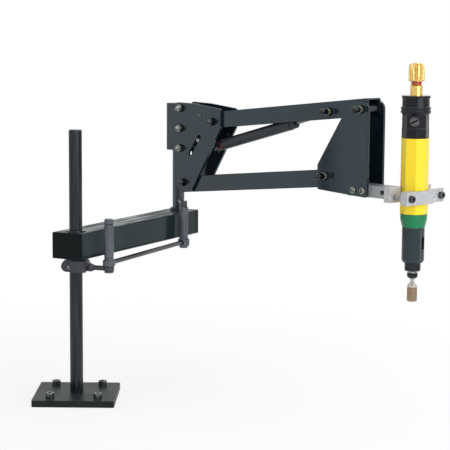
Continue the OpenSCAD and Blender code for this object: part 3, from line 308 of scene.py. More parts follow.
def milled(name, colour):
    """Milled aluminium: cutter lines along the arm, grey softened edges."""
    s = Finish(name)
    normal = s.rounded(0.0005)
    marks = s.noise(1, 4, s.mapped((60, 1600, 1600), (0, 0, ARM_HEADING)), 0.65)
    cloud = s.noise(420, 4)
    tone = s.mix(s.ramp(cloud, 0.32, 0.6), scaled(colour, 0.66), colour)
    base = s.mix(s.edge(normal) * 0.35, tone, scaled(colour, 0.45))
    rough = 0.4 + s.swing(marks, 0.2)
    return s.made(Base_Color=base, Metallic=0.15, Roughness=rough, Normal=s.bump(marks, 0.1, normal, 0.0003))


def moulded(name, colour, roughness, dirt=0.12, edges=0.3, specular=0.5, edge_highlight=None, radius=0.0005):
    """Moulded or enamelled shell: faint flow clouds, fine grain, and darker edges, unless a light edge colour is
    given for a painted highlight.
    """
    s = Finish(name)
    normal = s.rounded(radius)
    cloud = s.noise(30, 3)
    fine = s.noise(1500, 2)
    tone = s.mix(s.ramp(cloud, 0.4, 0.75) * dirt, colour, scaled(colour, 0.6))
    # A light edge colour, when given, is a painted highlight along the edges.
    base = s.mix(s.edge(normal) * edges, tone, edge_highlight or scaled(colour, 0.35))
    rough = roughness + s.swing(fine, 0.08) + s.swing(cloud, 0.06)
    return s.made(Base_Color=base, Roughness=rough, Specular_IOR_Level=specular,
                  Normal=s.bump(fine, 0.04, normal, 0.0003))


def banded(name, start, axis, bands, roughness, metallic=0.0, specular=0.5):
    """Finish that changes along an axis: bands are (distance from start in mm, colour) steps."""
    s = Finish(name)
    normal = s.rounded(0.0004)
    offset = s.add("ShaderNodeVectorMath", {"operation": "SUBTRACT"}, {0: s.place(), 1: tuple(start)})
    reach = s.dot(offset, tuple(axis)) + (s.noise(120, 2) - 0.5) * 0.0008
    tone = bands[0][1]
    for at, colour in bands[1:]:
        tone = s.mix(s.ramp(reach, at * MM, at * MM + 0.0004), tone, colour)
    cloud = s.ramp(s.noise(90, 3), 0.3, 0.7)
    tone = s.mix(cloud * 0.25, tone, scaled(bands[-1][1], 0.5))
    fine = s.noise(900, 3)
    rough = roughness + s.swing(fine, 0.14)
    return s.made(Base_Color=tone, Metallic=metallic, Roughness=rough, Specular_IOR_Level=specular,
                  Normal=s.bump(fine, 0.05, normal, 0.0003))


def dress(material, *names):
    """Puts a finish on CAD nodes."""
    for name in names:
        slots = NODES[name].data.materials
        slots.clear()
        slots.append(material)


# Mesh helpers. Lengths are in mm, in a frame that is given by a matrix in metres.

def piece(name, mesh, finishes, body, *replaced):
    """Cleans a mesh, dresses it in named finishes and hangs it on its body."""
    merge = 2e-6
    bmesh.ops.remove_doubles(mesh, verts=mesh.verts, dist=merge)
    bmesh.ops.dissolve_degenerate(mesh, edges=mesh.edges, dist=merge)
    bmesh.ops.recalc_face_normals(mesh, faces=mesh.faces)
    data = bpy.data.meshes.new(name)
    mesh.to_mesh(data)
    mesh.free()
    for finish in finishes:
        data.materials.append(bpy.data.materials[finish])
    data.shade_smooth()
    data.set_sharp_from_angle(angle=math.radians(32))
    obj = bpy.data.objects.new(name, data)
    bpy.context.scene.collection.objects.link(obj)
    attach(obj, body)
    if replaced:
        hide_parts(*replaced)


def turned(angle, axis="Z"):
    return Matrix.Rotation(angle, 4, axis)


def facing(place, out, turn=0.0):
    """A frame at a place whose +Z looks along out."""
    axes = Vector(out).normalized().to_track_quat("Z", "Y").to_matrix().to_4x4()
    return Matrix.Translation(place) @ axes @ turned(turn)


def near_face(s, z, y=PLATE_OUT):
    return facing(on_arm(s, -y, z), NEAR)


def far_face(s, z, y=PLATE_OUT):
    return facing(on_arm(s, y, z), -NEAR)


def above_tool(z):
    """A frame on the driver's middle line at a height."""
    return Matrix.Translation((TOOL.x, TOOL.y, z * MM))


def ring(mesh, at, places):
    return [mesh.verts.new(at @ Vector([c * MM for c in place])) for place in places]


def skin(mesh, rings, slot, closed=False):
    """Quads between neighbouring rings; the ends join up or get a face each."""
    count = len(rings[0])
    for a, b in zip(rings, rings[1:] + rings[:1] if closed else rings[1:]):
        for i in range(count):
            j = (i + 1) % count
            mesh.faces.new((a[i], b[i], b[j], a[j])).material_index = slot
    if not closed:
        for end in (rings[0][::-1], rings[-1]):
            mesh.faces.new(end).material_index = slot


def lathe(mesh, profile, at, steps, slot=MAIN):
    """Turns a closed profile of (radius, height) pairs about +Z; it may depend on the turn."""
    shape = profile if callable(profile) else lambda turn: profile
    turns = [2 * math.pi * k / steps for k in range(steps)]
    skin(mesh, [ring(mesh, at, [(r * math.cos(a), r * math.sin(a), z) for r, z in shape(a)]) for a in turns],
         slot, closed=True)


def prism(mesh, outline, z0, z1, at, slot, ease):
    """A flat outline, raised from z0 to z1, with its upper rim eased in."""
    mid = sum((Vector(p) for p in outline), Vector((0, 0))) / len(outline)
    rings = []
    for inset, z in ((0.0, z0), (0.0, z1 - ease), (ease, z1)):
        places = [Vector(p) - (Vector(p) - mid).normalized() * inset for p in outline]
        rings.append(ring(mesh, at, [(p.x, p.y, z) for p in places]))
    skin(mesh, rings, slot)


def wall_patch(mesh, at, radii, turns, heights, slot):
    """A thin piece of a tube's wall between two turns, in degrees, and two heights."""
    steps = 8
    (r0, r1), (z0, z1) = radii, heights
    rings = []
    for i in range(steps + 1):
        a = math.radians(turns[0] + (turns[1] - turns[0]) * i / steps)
        rings.append(ring(mesh, at, [(r * math.cos(a), r * math.sin(a), z)
                                     for r, z in ((r0, z0), (r1, z0), (r1, z1), (r0, z1))]))
    skin(mesh, rings, slot)


# Fasteners

def hexagon(width):
    """Radius of a hexagon across flats, at a turn angle."""
    def radius(a):
        return width / 2 / math.cos((a + math.pi / 6) % (math.pi / 3) - math.pi / 6)
    return radius


def plain_shank(mesh, at, d, z0, z1, slot=MAIN, steps=24):
    lathe(mesh, [(0.0, z0), (d / 2, z0), (d / 2, z1), (0.0, z1)], at, steps, slot)


def washer(mesh, at, bore=NUT_BORE):
    """Washer under a nut or a head, in the piece's second finish: near black, partly its own colour and partly
    painted shadow around what sits on it.
    """
    r, ease = WASHER_D / 2, 0.25
    lathe(mesh, [(bore / 2, 0), (r - ease, 0), (r, ease), (r, WASHER_T - ease), (r - ease, WASHER_T),
                 (bore / 2, WASHER_T)], at, 40, SECOND)


def hexagon_body(mesh, at, bore):
    """Nut with 30 degree chamfers; without a bore it is a bolt's head, which is flat underneath."""
    flat = hexagon(NUT_FLATS)
    rim = NUT_FLATS / 2 * 0.97
    z0, z1 = NUT_SPAN

    def profile(a):
        r = flat(a)
        drop = (r - NUT_FLATS / 2) * 0.58
        if bore:
            return [(bore / 2, z0), (rim, z0), (r, z0 + drop), (r, z1 - drop), (rim, z1), (bore / 2 + 0.5, z1),
                    (bore / 2, z1 - 0.5)]
        return [(0.0, z0), (r * 0.998, z0), (r, z0 + 0.1), (r, z1 - drop), (rim, z1), (0.0, z1)]
    lathe(mesh, profile, at, 72)


def threaded(mesh, at, d, z0, z1, pitch=FINE_PITCH, hollow=0.0):
    """Threaded end with a chamfered tip, which may be hollow."""
    count = max(2, int((z1 - z0) / pitch * 6))
    depth, chamfer = 0.36, 0.8

    def profile(a):
        points = [(0.0, z0)]
        for i in range(count + 1):
            z = z0 + (z1 - z0) * i / count
            groove = abs((z / pitch - a / 2 / math.pi) % 1 - 0.5) * 2
            tip = max(0.0, z - (z1 - chamfer))
            points.append((min(d / 2 - depth * groove, d / 2 - tip), z))
        if hollow:
            r = hollow / 2
            return points + [(r + 0.2, z1), (r, z1 - 0.2), (r, z1 - 1.6), (0.0, z1 - 1.9)]
        return points + [(0.0, z1)]
    lathe(mesh, profile, at, 32)


def socket_head(mesh, at, d, h, key, depth, button=False):
    """Cap or button screw head with a hexagon recess and, on a cap screw, a knurled rim."""
    recess = hexagon(key)
    ridges, ridge = 96, 0.13

    def profile(a):
        k = recess(a)
        inner = [(0.0, h - depth - 0.4), (k * 0.6, h - depth), (k, h - depth + 0.1), (k, h - 0.2), (k + 0.2, h)]
        if button:
            start = math.acos(min(1.0, (k + 0.5) / (d / 2)))
            dome = [start * (1 - i / 7) for i in range(8)]
            rim = [(d / 2 * math.cos(t), h * 0.25 + h * 0.75 * math.sin(t)) for t in dome]
            return [(r, min(z, rim[0][1])) for r, z in inner] + rim + [(d / 2, 0.0), (0.0, 0.0)]
        grip = ridge * (1 if round(a / (2 * math.pi) * ridges) % 2 else -1)
        r = d / 2 - ridge
        return inner + [(r - 0.9, h), (r - 0.25, h - 0.3), (r, h - 0.8), (r + grip, h - 1.1), (r + grip, 1.4),
                        (r, 1.1), (r, 0.25), (r - 0.3, 0.0), (0.0, 0.0)]
    lathe(mesh, profile, at, ridges)


def domed_cap(mesh, at):
    """Plastic cap over a thread's end, a cylinder under a dome, in the piece's third finish."""
    r, (z0, z1) = CAP_D / 2, CAP_SPAN
    shoulder = z1 - r
    dome = [math.pi / 2 * i / 9 for i in range(1, 10)]
    lathe(mesh, [(0.0, z0), (r - 0.2, z0), (r, z0 + 0.3), (r, shoulder)] +
          [(r * math.cos(t), shoulder + r * math.sin(t)) for t in dome], at, 48, THIRD)


def stud_and_nut(mesh, at, grip):
    """Nut on a near-black washer, partly painted shadow, with the stud's hollow-ended thread standing out."""
    plain_shank(mesh, at, THREAD_D - 0.1, -grip, 0.5)
    washer(mesh, at, THREAD_D)
    hexagon_body(mesh, at, NUT_BORE)
    threaded(mesh, at, THREAD_D, *THREAD_SPAN, hollow=THREAD_HOLLOW)


def bolt_head(mesh, at):
    washer(mesh, at)
    hexagon_body(mesh, at, 0.0)


def capped_bolt(mesh, near, far, shank):
    """Bolt with a nut and a domed cap on the near side and its head on the far side."""
    washer(mesh, near, THREAD_D)
    hexagon_body(mesh, near, NUT_BORE)
    domed_cap(mesh, near)
    plain_shank(mesh, near, PIVOT_D, -shank, 0.5)
    bolt_head(mesh, far)


def spring_line():
    """The gas spring's lower pin and the direction to its upper one."""
    return Vector(JOINTS["cylinder_tilt"]["pos_m"]), Vector(JOINTS["piston_travel"]["axis"])


# Sizes and colours that a user would change

class TorqueArmLook(bpy.types.PropertyGroup):
    arm_paint: bpy.props.FloatVectorProperty(
        name="Arm paint", description="Enamel of the beam, arms and plates", subtype="COLOR",
        size=3, default=lin(26, 38, 46))
    plate_paint: bpy.props.FloatVectorProperty(
        name="Base plate paint", description="Finish of the base plate", subtype="COLOR",
        size=3, default=lin(34, 37, 38))
    barrel_paint: bpy.props.FloatVectorProperty(
        name="Barrel paint", description="Finish of the steering link's barrels", subtype="COLOR",
        size=3, default=lin(78, 82, 88))
    bar_colour: bpy.props.FloatVectorProperty(
        name="Bar steel", description="Blued steel of the post and shafts", subtype="COLOR",
        size=3, default=lin(42, 46, 49))
    grip_colour: bpy.props.FloatVectorProperty(
        name="Grip", description="Shell of the driver's grip", subtype="COLOR",
        size=3, default=lin(248, 218, 46))
    ring_colour: bpy.props.FloatVectorProperty(
        name="Clutch ring", description="Ring below the driver's grip", subtype="COLOR",
        size=3, default=lin(24, 124, 78))


class TorqueArmStage(bpy.types.PropertyGroup):
    floor_size: bpy.props.FloatProperty(
        name="Floor", description="Side of the floor", default=40.0, min=2.0, subtype="DISTANCE", unit="LENGTH")
    focal_length: bpy.props.FloatProperty(
        name="Focal length", description="Camera's focal length in millimetres", default=126.76, min=20.0)
    key_power: bpy.props.FloatProperty(
        name="Key light", description="Power of the large lamp in front on the right", default=40.0, min=0.0,
        subtype="POWER")
    fill_power: bpy.props.FloatProperty(
        name="Fill light", description="Power of the lamp in front on the left", default=4.0, min=0.0,
        subtype="POWER")
    top_power: bpy.props.FloatProperty(
        name="Top light", description="Power of the lamp above", default=16.0, min=0.0, subtype="POWER")
    room_light: bpy.props.FloatProperty(
        name="Room light", description="Strength of the soft light from all round", default=0.26, min=0.0)


class PaintedSteel(bpy.types.Operator):
    """Dresses the beam, arms, plates, collar and barrels in enamel"""
    bl_idname = "torque_arm.painted_steel"
    bl_label = "Painted steel"

    def execute(self, context):
        look = context.scene.torque_arm_look
        arm = tuple(look.arm_paint)
        beam = tuple(c * k for c, k in zip(arm, (1.7, 1.55, 1.2)))
        # The beam turns black past 0.32 m along it: painted shade.
        dress(paint("beam_paint", beam, 0.1, specular=0.14, sheen=(0.45, 0.48, 0.48), painted_shade_from=0.32), "beam_tube")
        dress(paint("arm_paint", arm, 0.13, haze=0.35), "shaft_block", "elbow_near_plate", "elbow_far_plate",
              "upper_arm", "lower_arm", "head_near_plate", "head_far_plate", "spring_anchor")
        dress(cast_paint("collar_paint", lin(44, 47, 54), 0.32), "collar_front", "collar_rear",
              "crank_rod", "crank_foot", "elbow_crank")
        dress(paint("base_plate_paint", tuple(look.plate_paint), 0.4, radius=0.0008, specular=0.1), "base_plate")
        # The caps' near black is partly their own colour and partly painted shade.
        dress(paint("end_cap_plastic", lin(12, 13, 13), 0.35, radius=0.0008, edges=0.2, grain=0.12, specular=0.12),
              "beam_end_caps")
        dress(cast_paint("barrel_paint", tuple(look.barrel_paint)), "near_barrel", "near_rod_eye",
              "far_barrel", "far_rod_eye", "crank_pin")
        return {"FINISHED"}


class BareSteel(bpy.types.Operator):
    """Dresses the post, shafts, pins, bushes and bars, and mixes the fasteners' finishes"""
    bl_idname = "torque_arm.bare_steel"
    bl_label = "Bare and plated steel"

    def execute(self, context):
        blued = tuple(context.scene.torque_arm_look.bar_colour)
        dress(bar_steel("blued_bar", scaled(blued, 1.1), 0.2, 0.7, (170, 170, 12)), "post")
        dress(bar_steel("ground_shaft", scaled(blued, 3), 0.16, 0.9, (70, 70, 5)), "elbow_shaft")
        dress(bar_steel("link_bar", scaled(blued, 1.9), 0.16, 0.5, (20, 20, 20)), "tie_rod", "hanger_pin",
              "bearing_tubes")
        dress(bar_steel("piston_bar", lin(150, 154, 158), 0.18, 1.0), "spring_rod")
        plated("dull_zinc", lin(158, 161, 158), lin(120, 121, 110), 0.34)
        plated("blue_zinc", lin(84, 88, 94), lin(60, 62, 66), 0.2)
        plated("olive_zinc", lin(138, 146, 130), lin(104, 112, 94), 0.25, metallic=0.55)
        plated("bright_zinc", lin(206, 208, 204), lin(170, 170, 152), 0.26)
        plated("dark_zinc", lin(136, 136, 130), lin(78, 78, 74), 0.2)
        # Washers and the holder's pocket nut: near black, partly their own colour and partly painted shadow.
        plated("black_steel_and_shadow", lin(34, 35, 38), lin(26, 27, 29), 0.42)
        plated("black_oxide", lin(104, 106, 108), lin(66, 68, 70), 0.24)
        moulded("black_cap", lin(12, 13, 16), 0.1, specular=0.35)
        moulded("seal_rubber", lin(176, 60, 34), 0.5)
        moulded("slot_shadow", lin(12, 13, 14), 0.7, specular=0.05)
        # Light strip beside the nose slot: painted highlight.
        moulded("nose_highlight_strip", lin(76, 84, 88), 0.4)
        dress(bar_steel("bush_steel", lin(70, 72, 73), 0.28, 0.9, (40, 40, 40)), "post_bushes", "elbow_bushes",
              "upper_arm_bushes", "lower_arm_bushes", "shaft_rings")
        dress(milled("milled_aluminium", lin(196, 198, 200)), "rear_jaw", "front_jaw")
        dress(milled("milled_bar", lin(164, 168, 170)), "holder_bar")
        return {"FINISHED"}


class DriverFinishes(bpy.types.Operator):
    """Dresses the gas spring and the air screwdriver's shells, brass coupler and socket"""
    bl_idname = "torque_arm.driver_finishes"
    bl_label = "Driver and spring finishes"

    def execute(self, context):
        look = context.scene.torque_arm_look
        dress(moulded("grip_enamel", tuple(look.grip_colour), 0.3, dirt=0.05, edges=0.2, specular=0.3),
              "driver_body")
        # The light edges of the head, the nose and its steel parts are painted highlights.
        dress(moulded("head_enamel", lin(18, 20, 25), 0.12, edges=0.7, specular=0.22, edge_highlight=lin(84, 92, 102),
                      radius=0.0009), "driver_head")
        dress(moulded("knob_shell", lin(72, 74, 76), 0.35), "selector_knob")
        dress(moulded("ring_enamel", tuple(look.ring_colour), 0.3, edges=0.2, specular=0.3), "clutch_ring")
        dress(moulded("nose_shell", lin(38, 52, 56), 0.16, edges=0.8, specular=0.3, edge_highlight=lin(110, 116, 122),
                      radius=0.0011), "nose_housing")
        dress(bar_steel("nose_steel", lin(38, 42, 45), 0.16, 0.8, radius=0.001, edge_highlight=lin(150, 154, 158)),
              "nose_collar", "chuck_sleeve", "air_motor", "gear_unit")
        dress(bar_steel("spindle_steel", lin(176, 178, 176), 0.24, 1.0), "drive_spindle")
        plated("coupler_brass", lin(214, 184, 116), lin(196, 162, 92), 0.3, radius=0.0001, grain=0.01)
        dress(plated("stem_brass", lin(222, 190, 116), lin(212, 178, 104), 0.16, grain=0.01),
              "inlet_stem", "coupler_sleeve")
        bands = [(0, lin(146, 122, 98)), (19.8, lin(60, 56, 50)), (20.4, lin(206, 200, 186))]
        foot = above_tool(SOCKET_FOOT).translation
        dress(banded("socket_steel", foot, (0, 0, 1), bands, 0.3, metallic=0.85), "bit_socket")
        barrel, seam = lin(62, 66, 70), lin(20, 21, 22)
        bands = [(0, lin(84, 48, 42)), (15.6, lin(14, 15, 16)), (16.4, barrel), (173.4, seam), (174.2, barrel)]
        dress(banded("spring_enamel", *spring_line(), bands, 0.18, specular=0.15), "spring_cylinder")
        return {"FINISHED"}


class BaseScrews(bpy.types.Operator):
    """Makes the four bench screws with their knurled heads and threads"""
    bl_idname = "torque_arm.base_screws"
    bl_label = "Bench screws"

    def execute(self, context):
        mesh = bmesh.new()
        neck, thread_end = 12.0, 30.0
        for x in (-BENCH_SCREW_X, BENCH_SCREW_X):
            for y in (-BENCH_SCREW_Y, BENCH_SCREW_Y):
                at = facing(Vector((x, y, BASE_TOP)) * MM, (0, 0, 1), 0.3 * (x + y))
                socket_head(mesh, at, d=13.0, h=8.0, key=6.0, depth=4.0)
                plain_shank(mesh, at, 7.9, -neck, 0.3)
                plain_shank(mesh, at, 7.8, -neck, -neck - 0.6)
                threaded(mesh, at @ turned(math.pi, "X"), 7.9, neck + 0.3, thread_end, COARSE_PITCH)
        piece("bench_screws", mesh, ["black_oxide"], "base", "base_screws")
        return {"FINISHED"}


class CollarScrews(bpy.types.Operator):
    """Makes the collar's two clamping screws and its grub screw"""
    bl_idname = "torque_arm.collar_screws"
    bl_label = "Collar screws"

    def execute(self, context):
        mesh = bmesh.new()
        for x in (-COLLAR_SCREW_X, COLLAR_SCREW_X):
            at = facing(Vector((x, COLLAR_SCREW_Y, COLLAR_SCREW_Z)) * MM, (0, 1, 0))
            socket_head(mesh, at, d=8.5, h=4.0, key=4.0, depth=2.0)
            plain_shank(mesh, at, 4.9, -22.4, 0.3)
        piece("collar_cap_screws", mesh, ["bright_zinc"], "collar", "collar_screws")

        mesh = bmesh.new()
        at = facing(Vector(GRUB_SCREW) * MM, (0, -1, 0))
        lathe(mesh, [(0, -3), (2.5, -3), (2.5, 0.0), (2.1, 0.35), (1.5, 0.35), (1.3, -1.2), (0, -1.2)], at, 32)
        piece("collar_grub_screw", mesh, ["bright_zinc"], "collar")
        return {"FINISHED"}


class BracketNuts(bpy.types.Operator):
    """Makes the studs, washers and nuts of the elbow bracket and its two pivots"""
    bl_idname = "torque_arm.bracket_nuts"
    bl_label = "Bracket nuts"

    def execute(self, context):
        mesh = bmesh.new()
        for i, z in enumerate(STUD_HEIGHTS):
            for side, face in enumerate((near_face, far_face)):
                stud_and_nut(mesh, face(STUD_S, z) @ turned(0.5 * i + side), 15.9)
        piece("bracket_studs", mesh, ["dull_zinc", "black_steel_and_shadow"], "elbow", "block_bolts")

        mesh = bmesh.new()
        for pin in (UP_PIN, LOW_PIN):
            at = near_face(*pin)
            washer(mesh, at)
            hexagon_body(mesh, at, NUT_BORE)
            threaded(mesh, at, THREAD_D, *THREAD_SPAN, hollow=THREAD_HOLLOW)
            plain_shank(mesh, at, PIVOT_D, -2 * PLATE_OUT, -0.1)
            bolt_head(mesh, far_face(*pin))
        piece("elbow_pivots", mesh, ["blue_zinc", "black_steel_and_shadow"], "elbow", "elbow_pivot_bolts",
              "elbow_pivot_nuts")
        return {"FINISHED"}


class BracketPins(bpy.types.Operator):
    """Makes the bracket's spacer and the pins that seat the gas spring"""
    bl_idname = "torque_arm.bracket_pins"
    bl_label = "Bracket spacer and pins"

    def execute(self, context):
        mesh = bmesh.new()
        for face in (near_face, far_face):
            socket_head(mesh, face(*SPACER), d=7.0, h=2.5, key=2.5, depth=1.3, button=True)
        wall = 4.0
        plain_shank(mesh, near_face(*SPACER), 9.0, wall - 2 * PLATE_OUT, -wall, steps=32)
        piece("bracket_spacer", mesh, ["black_oxide"], "elbow", "plate_spacer")

        mesh = bmesh.new()
        for face in (near_face, far_face):
            lathe(mesh, [(0, -13), (3, -13), (3, -4), (3.35, -4), (3.35, -0.9), (2.9, -0.4), (1.2, -0.4),
                         (0.9, -0.9), (0, -1)], face(*SPRING_SEAT), 40)
        pin = facing(spring_line()[0], NEAR)
        lathe(mesh, [(0, -13.5), (3.5, -13.5), (3.5, 13.0), (3.0, 13.5), (0, 13.5)], pin, 40)
        piece("spring_seat_pins", mesh, ["dull_zinc"], "elbow", "anchor_screws")
        return {"FINISHED"}


class HeadBolts(bpy.types.Operator):
    """Makes the capped pivot bolts of the head and the spring's top bolt"""
    bl_idname = "torque_arm.head_bolts"
    bl_label = "Head bolts"

    def execute(self, context):
        finishes = ["olive_zinc", "black_steel_and_shadow", "black_cap"]
        mesh = bmesh.new()
        for pin in (HEAD_UP, HEAD_LOW):
            capped_bolt(mesh, near_face(*pin), far_face(*pin), 2 * PLATE_OUT)
        piece("head_pivots", mesh, finishes, "head", "head_pivot_bolts")

        mesh = bmesh.new()
        near, far = near_face(*SPRING_TOP, CHANNEL_OUT), far_face(*SPRING_TOP, CHANNEL_OUT)
        capped_bolt(mesh, near, far, 2 * CHANNEL_OUT)
        piece("spring_top_fastening", mesh, finishes, "upper", "spring_top_bolt")
        return {"FINISHED"}


class HolderScrews(bpy.types.Operator):
    """Makes the holder bar's screws, the nut in its pocket and the screws of the jaws"""
    bl_idname = "torque_arm.holder_screws"
    bl_label = "Holder screws"

    def execute(self, context):
        mesh = bmesh.new()
        for s in HOLDER_SCREWS:
            for face in (near_face, far_face):
                at = face(s, HOLDER_Z) @ turned(s)
                socket_head(mesh, at, d=11.0, h=3.3, key=4.0, depth=2.2, button=True)
                plain_shank(mesh, at, 5.9, -13.9, 0.2)
        at = facing(on_arm(POCKET_S, 0, HOLDER_Z), ALONG)
        plain_shank(mesh, at, 4.9, 0, 28.6)
        w, h = 4.9, 2.95
        # The pocket nut takes the near-black second finish, partly painted shadow in the pocket.
        prism(mesh, [(-w, -h), (w, -h), (w, h), (-w, h)], -w, w, at, SECOND, 0.2)
        piece("holder_fastenings", mesh, ["dark_zinc", "black_steel_and_shadow"], "head", "holder_screws")

        mesh = bmesh.new()
        for across, sunk in JAW_SCREWS:
            at = facing(on_arm(JAW_FACE - sunk, across, JAW_Z), ALONG, 0.4 if across > 0 else 0.1)
            socket_head(mesh, at, d=10.4, h=6.0, key=5.0, depth=3.0)
            plain_shank(mesh, at, 5.9, sunk - 44.4, 0.3, SECOND)
        piece("jaw_screws", mesh, ["black_oxide", "dull_zinc"], "head", "clamp_screws")
        return {"FINISHED"}


class SelectorDial(bpy.types.Operator):
    """Makes the driver's selector knob with its knurled rim and its bar"""
    bl_idname = "torque_arm.selector_dial"
    bl_label = "Selector dial"

    def execute(self, context):
        mesh = bmesh.new()
        out = Vector((math.cos(DIAL_TURN), math.sin(DIAL_TURN), 0))
        seat = facing(above_tool(DIAL_Z).translation + out * DIAL_OUT * MM, out)

        def rim(a):
            r = 6.85 + 0.12 * math.cos(a * 30)
            return [(0, 0), (r, 0), (r, 3.6), (r - 0.8, 4.7), (r - 1.6, 4.9), (0, 4.9)]
        lathe(mesh, rim, seat, 120)
        w, h = 6.2, 1.1
        prism(mesh, [(-w, -h), (w, -h), (w, h), (-w, h)], 4.7, 5.0, seat @ turned(0.5), SECOND, 0.1)
        plain_shank(mesh, seat, 5.8, -5.6, 0.2)
        piece("selector_dial", mesh, ["knob_shell", "slot_shadow"], "knob", "selector_knob")
        return {"FINISHED"}


class CouplingSleeve(bpy.types.Operator):
    """Makes the air coupling's fluted sleeve and the red seal below it"""
    bl_idname = "torque_arm.coupling_sleeve"
    bl_label = "Coupling sleeve"

    def execute(self, context):
        mesh = bmesh.new()
        flutes = 16

        def sleeve(a):
            across = abs((a * flutes / (2 * math.pi)) % 1 - 0.5) * 2
            cut = max(0.0, across - 0.5) / 0.5
            r = 11.55 - 1.3 * cut
            return [(6.1, 5.4), (8.0, 5.4), (8.0, 0.0), (10.6, 0.0), (11.4, 0.7), (11.45, 1.6), (r, 2.4),
                    (r, 19.4), (11.3 - 0.9 * cut, 20.6), (10.6 - 1.6 * cut, 22.6), (9.2 - 0.9 * cut, 24.9),
                    (7.4, 24.9), (6.1, 24.0)]
        lathe(mesh, sleeve, above_tool(SLEEVE_Z), 192)
        piece("coupling_sleeve", mesh, ["coupler_brass"], "coupler", "coupler_sleeve")

        mesh = bmesh.new()
        lathe(mesh, [(6.9, 0.2), (7.3, 0.1), (7.55, 1.2), (7.55, 3.2), (7.3, 4.4), (6.9, 4.5)],
              above_tool(SEAL_Z), 64)
        piece("coupling_seal", mesh, ["seal_rubber"], "head")
        return {"FINISHED"}


class NoseWindow(bpy.types.Operator):
    """Makes the driver's nose slot as a dark patch, a painted shadow, and the light strip beside it, a painted
    highlight
    """
    bl_idname = "torque_arm.nose_window"
    bl_label = "Nose window"

    def execute(self, context):
        mesh = bmesh.new()
        at, inner = above_tool(0), NOSE_R - 0.3
        # Dark patch for the slot: painted shadow.
        wall_patch(mesh, at, (inner, NOSE_R + 0.06), (-49, -20), (249.0, 267.0), MAIN)
        # Light strip beside the slot: painted highlight.
        wall_patch(mesh, at, (inner, NOSE_R + 0.05), (-57, -50), (233.0, 278.0), SECOND)
        piece("nose_window", mesh, ["slot_shadow", "nose_highlight_strip"], "head")
        return {"FINISHED"}


# Stage

def make_floor(scene, size):
    """Pale floor that keeps the object's shadow and goes to white away from it.

    Every reflected ray sees its white, so it also lights the object a little from below."""
    half = size / 2
    mesh = bmesh.new()
    mesh.faces.new([mesh.verts.new((x * half, y * half, 0)) for x, y in ((-1, -1), (1, -1), (1, 1), (-1, 1))])
    data = bpy.data.meshes.new("floor")
    mesh.to_mesh(data)
    mesh.free()
    floor = bpy.data.objects.new("floor", data)
    scene.collection.objects.link(floor)
    material = bpy.data.materials.new("floor_white")
    s = Shader(material)
    pale = s.add("ShaderNodeBsdfPrincipled", {}, {"Base Color": (0.88, 0.88, 0.87), "Roughness": 0.9})
    glow = s.add("ShaderNodeEmission", {}, {"Color": (1, 1, 1), "Strength": 1.0})
    away = s.add("ShaderNodeVectorMath", {"operation": "LENGTH"}, {0: s.place()}, "Value")
    near_white = 0.82
    white = near_white + s.ramp(away, 0.1, 0.9) * (1 - near_white)
    seen = s.seen_by("Camera", "Reflection", "Transmission")
    both = s.add("ShaderNodeMixShader", {}, {0: seen * white, 1: pale, 2: glow})
    s.add("ShaderNodeOutputMaterial", {}, {0: both})
    data.materials.append(material)


def make_room(scene, strength):
    """Soft light from all round, in a room that looks white."""
    scene.world = bpy.data.worlds.new("studio")
    s = Shader(scene.world)
    soft = s.add("ShaderNodeBackground", {}, {"Color": (0.97, 0.98, 1.0), "Strength": strength})
    white = s.add("ShaderNodeBackground", {}, {"Color": (1, 1, 1), "Strength": 1.0})
    seen = s.seen_by("Camera", "Glossy", "Transmission")
    both = s.add("ShaderNodeMixShader", {}, {0: seen, 1: soft, 2: white})
    s.add("ShaderNodeOutputWorld", {}, {0: both})


def make_lamp(scene, name, place, side, power):
    """Square lamp that looks at the middle of the object."""
    middle = Vector((0.25, 0.1, 0.32))
    lamp = bpy.data.lights.new(name, "AREA")
    lamp.shape, lamp.size, lamp.energy = "SQUARE", side, power
    obj = bpy.data.objects.new(name, lamp)
    obj.location = place
    obj.rotation_euler = (middle - obj.location).to_track_quat("-Z", "Y").to_euler()
    scene.collection.objects.link(obj)


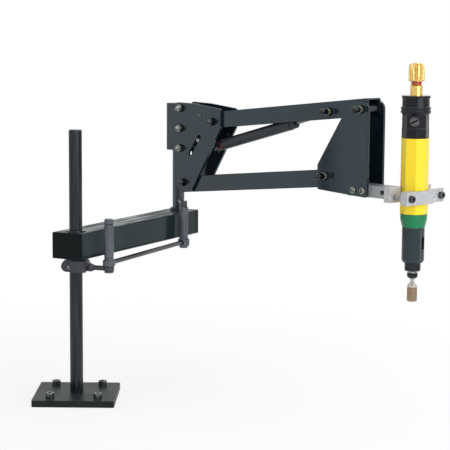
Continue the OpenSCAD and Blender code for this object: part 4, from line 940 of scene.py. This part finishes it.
def make_camera(scene, focal_length):
    """Camera at the photograph's viewing angle."""
    place = Vector((0.2498, -2.3739, 0.58085))
    yaw, pitch, roll = math.radians(-0.58), math.radians(7.48), math.radians(0.36)
    ahead = Vector((math.sin(yaw) * math.cos(pitch), math.cos(yaw) * math.cos(pitch), -math.sin(pitch)))
    right = Vector((math.cos(yaw), -math.sin(yaw), 0))
    up = right.cross(ahead)
    right, up = right * math.cos(roll) + up * math.sin(roll), up * math.cos(roll) - right * math.sin(roll)
    camera = bpy.data.cameras.new("camera")
    camera.sensor_width, camera.lens = 36.0, focal_length
    eye = bpy.data.objects.new("camera", camera)
    axes = Matrix((right, up, -ahead)).transposed().to_4x4()
    eye.matrix_world = Matrix.Translation(place) @ axes
    scene.collection.objects.link(eye)
    scene.camera = eye


class Stage(bpy.types.Operator):
    """Sets the floor, the soft studio light and the camera"""
    bl_idname = "torque_arm.stage"
    bl_label = "Stage"

    def execute(self, context):
        scene, sizes = context.scene, context.scene.torque_arm_stage
        make_floor(scene, sizes.floor_size)
        make_room(scene, sizes.room_light)
        make_lamp(scene, "key", (1.5, -1.7, 1.25), 1.9, sizes.key_power)
        make_lamp(scene, "fill", (-1.6, -1.6, 1.0), 0.45, sizes.fill_power)
        make_lamp(scene, "top", (0.4, 0.5, 2.1), 1.6, sizes.top_power)
        make_camera(scene, sizes.focal_length)
        scene.view_settings.view_transform = "Standard"
        return {"FINISHED"}


STEPS = (PaintedSteel, BareSteel, DriverFinishes, BaseScrews, CollarScrews, BracketNuts, BracketPins, HeadBolts,
         HolderScrews, SelectorDial, CouplingSleeve, NoseWindow, Stage)


class TorqueArmPanel(bpy.types.Panel):
    """Lists the sizes, colours and steps of the torque arm"""
    bl_idname = "VIEW3D_PT_torque_arm"
    bl_label = "Torque arm"
    bl_space_type = "VIEW_3D"
    bl_region_type = "UI"
    bl_category = "Torque arm"

    def draw(self, context):
        for group in (context.scene.torque_arm_look, context.scene.torque_arm_stage):
            box = self.layout.box()
            for name in group.bl_rna.properties.keys():
                if name not in ("rna_type", "name"):
                    box.prop(group, name)
        for step in STEPS:
            self.layout.operator(step.bl_idname)


CLASSES = (TorqueArmLook, TorqueArmStage, *STEPS, TorqueArmPanel)


def register():
    for cls in CLASSES:
        bpy.utils.register_class(cls)
    bpy.types.Scene.torque_arm_look = bpy.props.PointerProperty(type=TorqueArmLook)
    bpy.types.Scene.torque_arm_stage = bpy.props.PointerProperty(type=TorqueArmStage)


def unregister():
    del bpy.types.Scene.torque_arm_stage
    del bpy.types.Scene.torque_arm_look
    for cls in reversed(CLASSES):
        bpy.utils.unregister_class(cls)


def main():
    register()
    for step in STEPS:
        group, name = step.bl_idname.split(".")
        getattr(getattr(bpy.ops, group), name)()


if __name__ == "__main__":
    main()
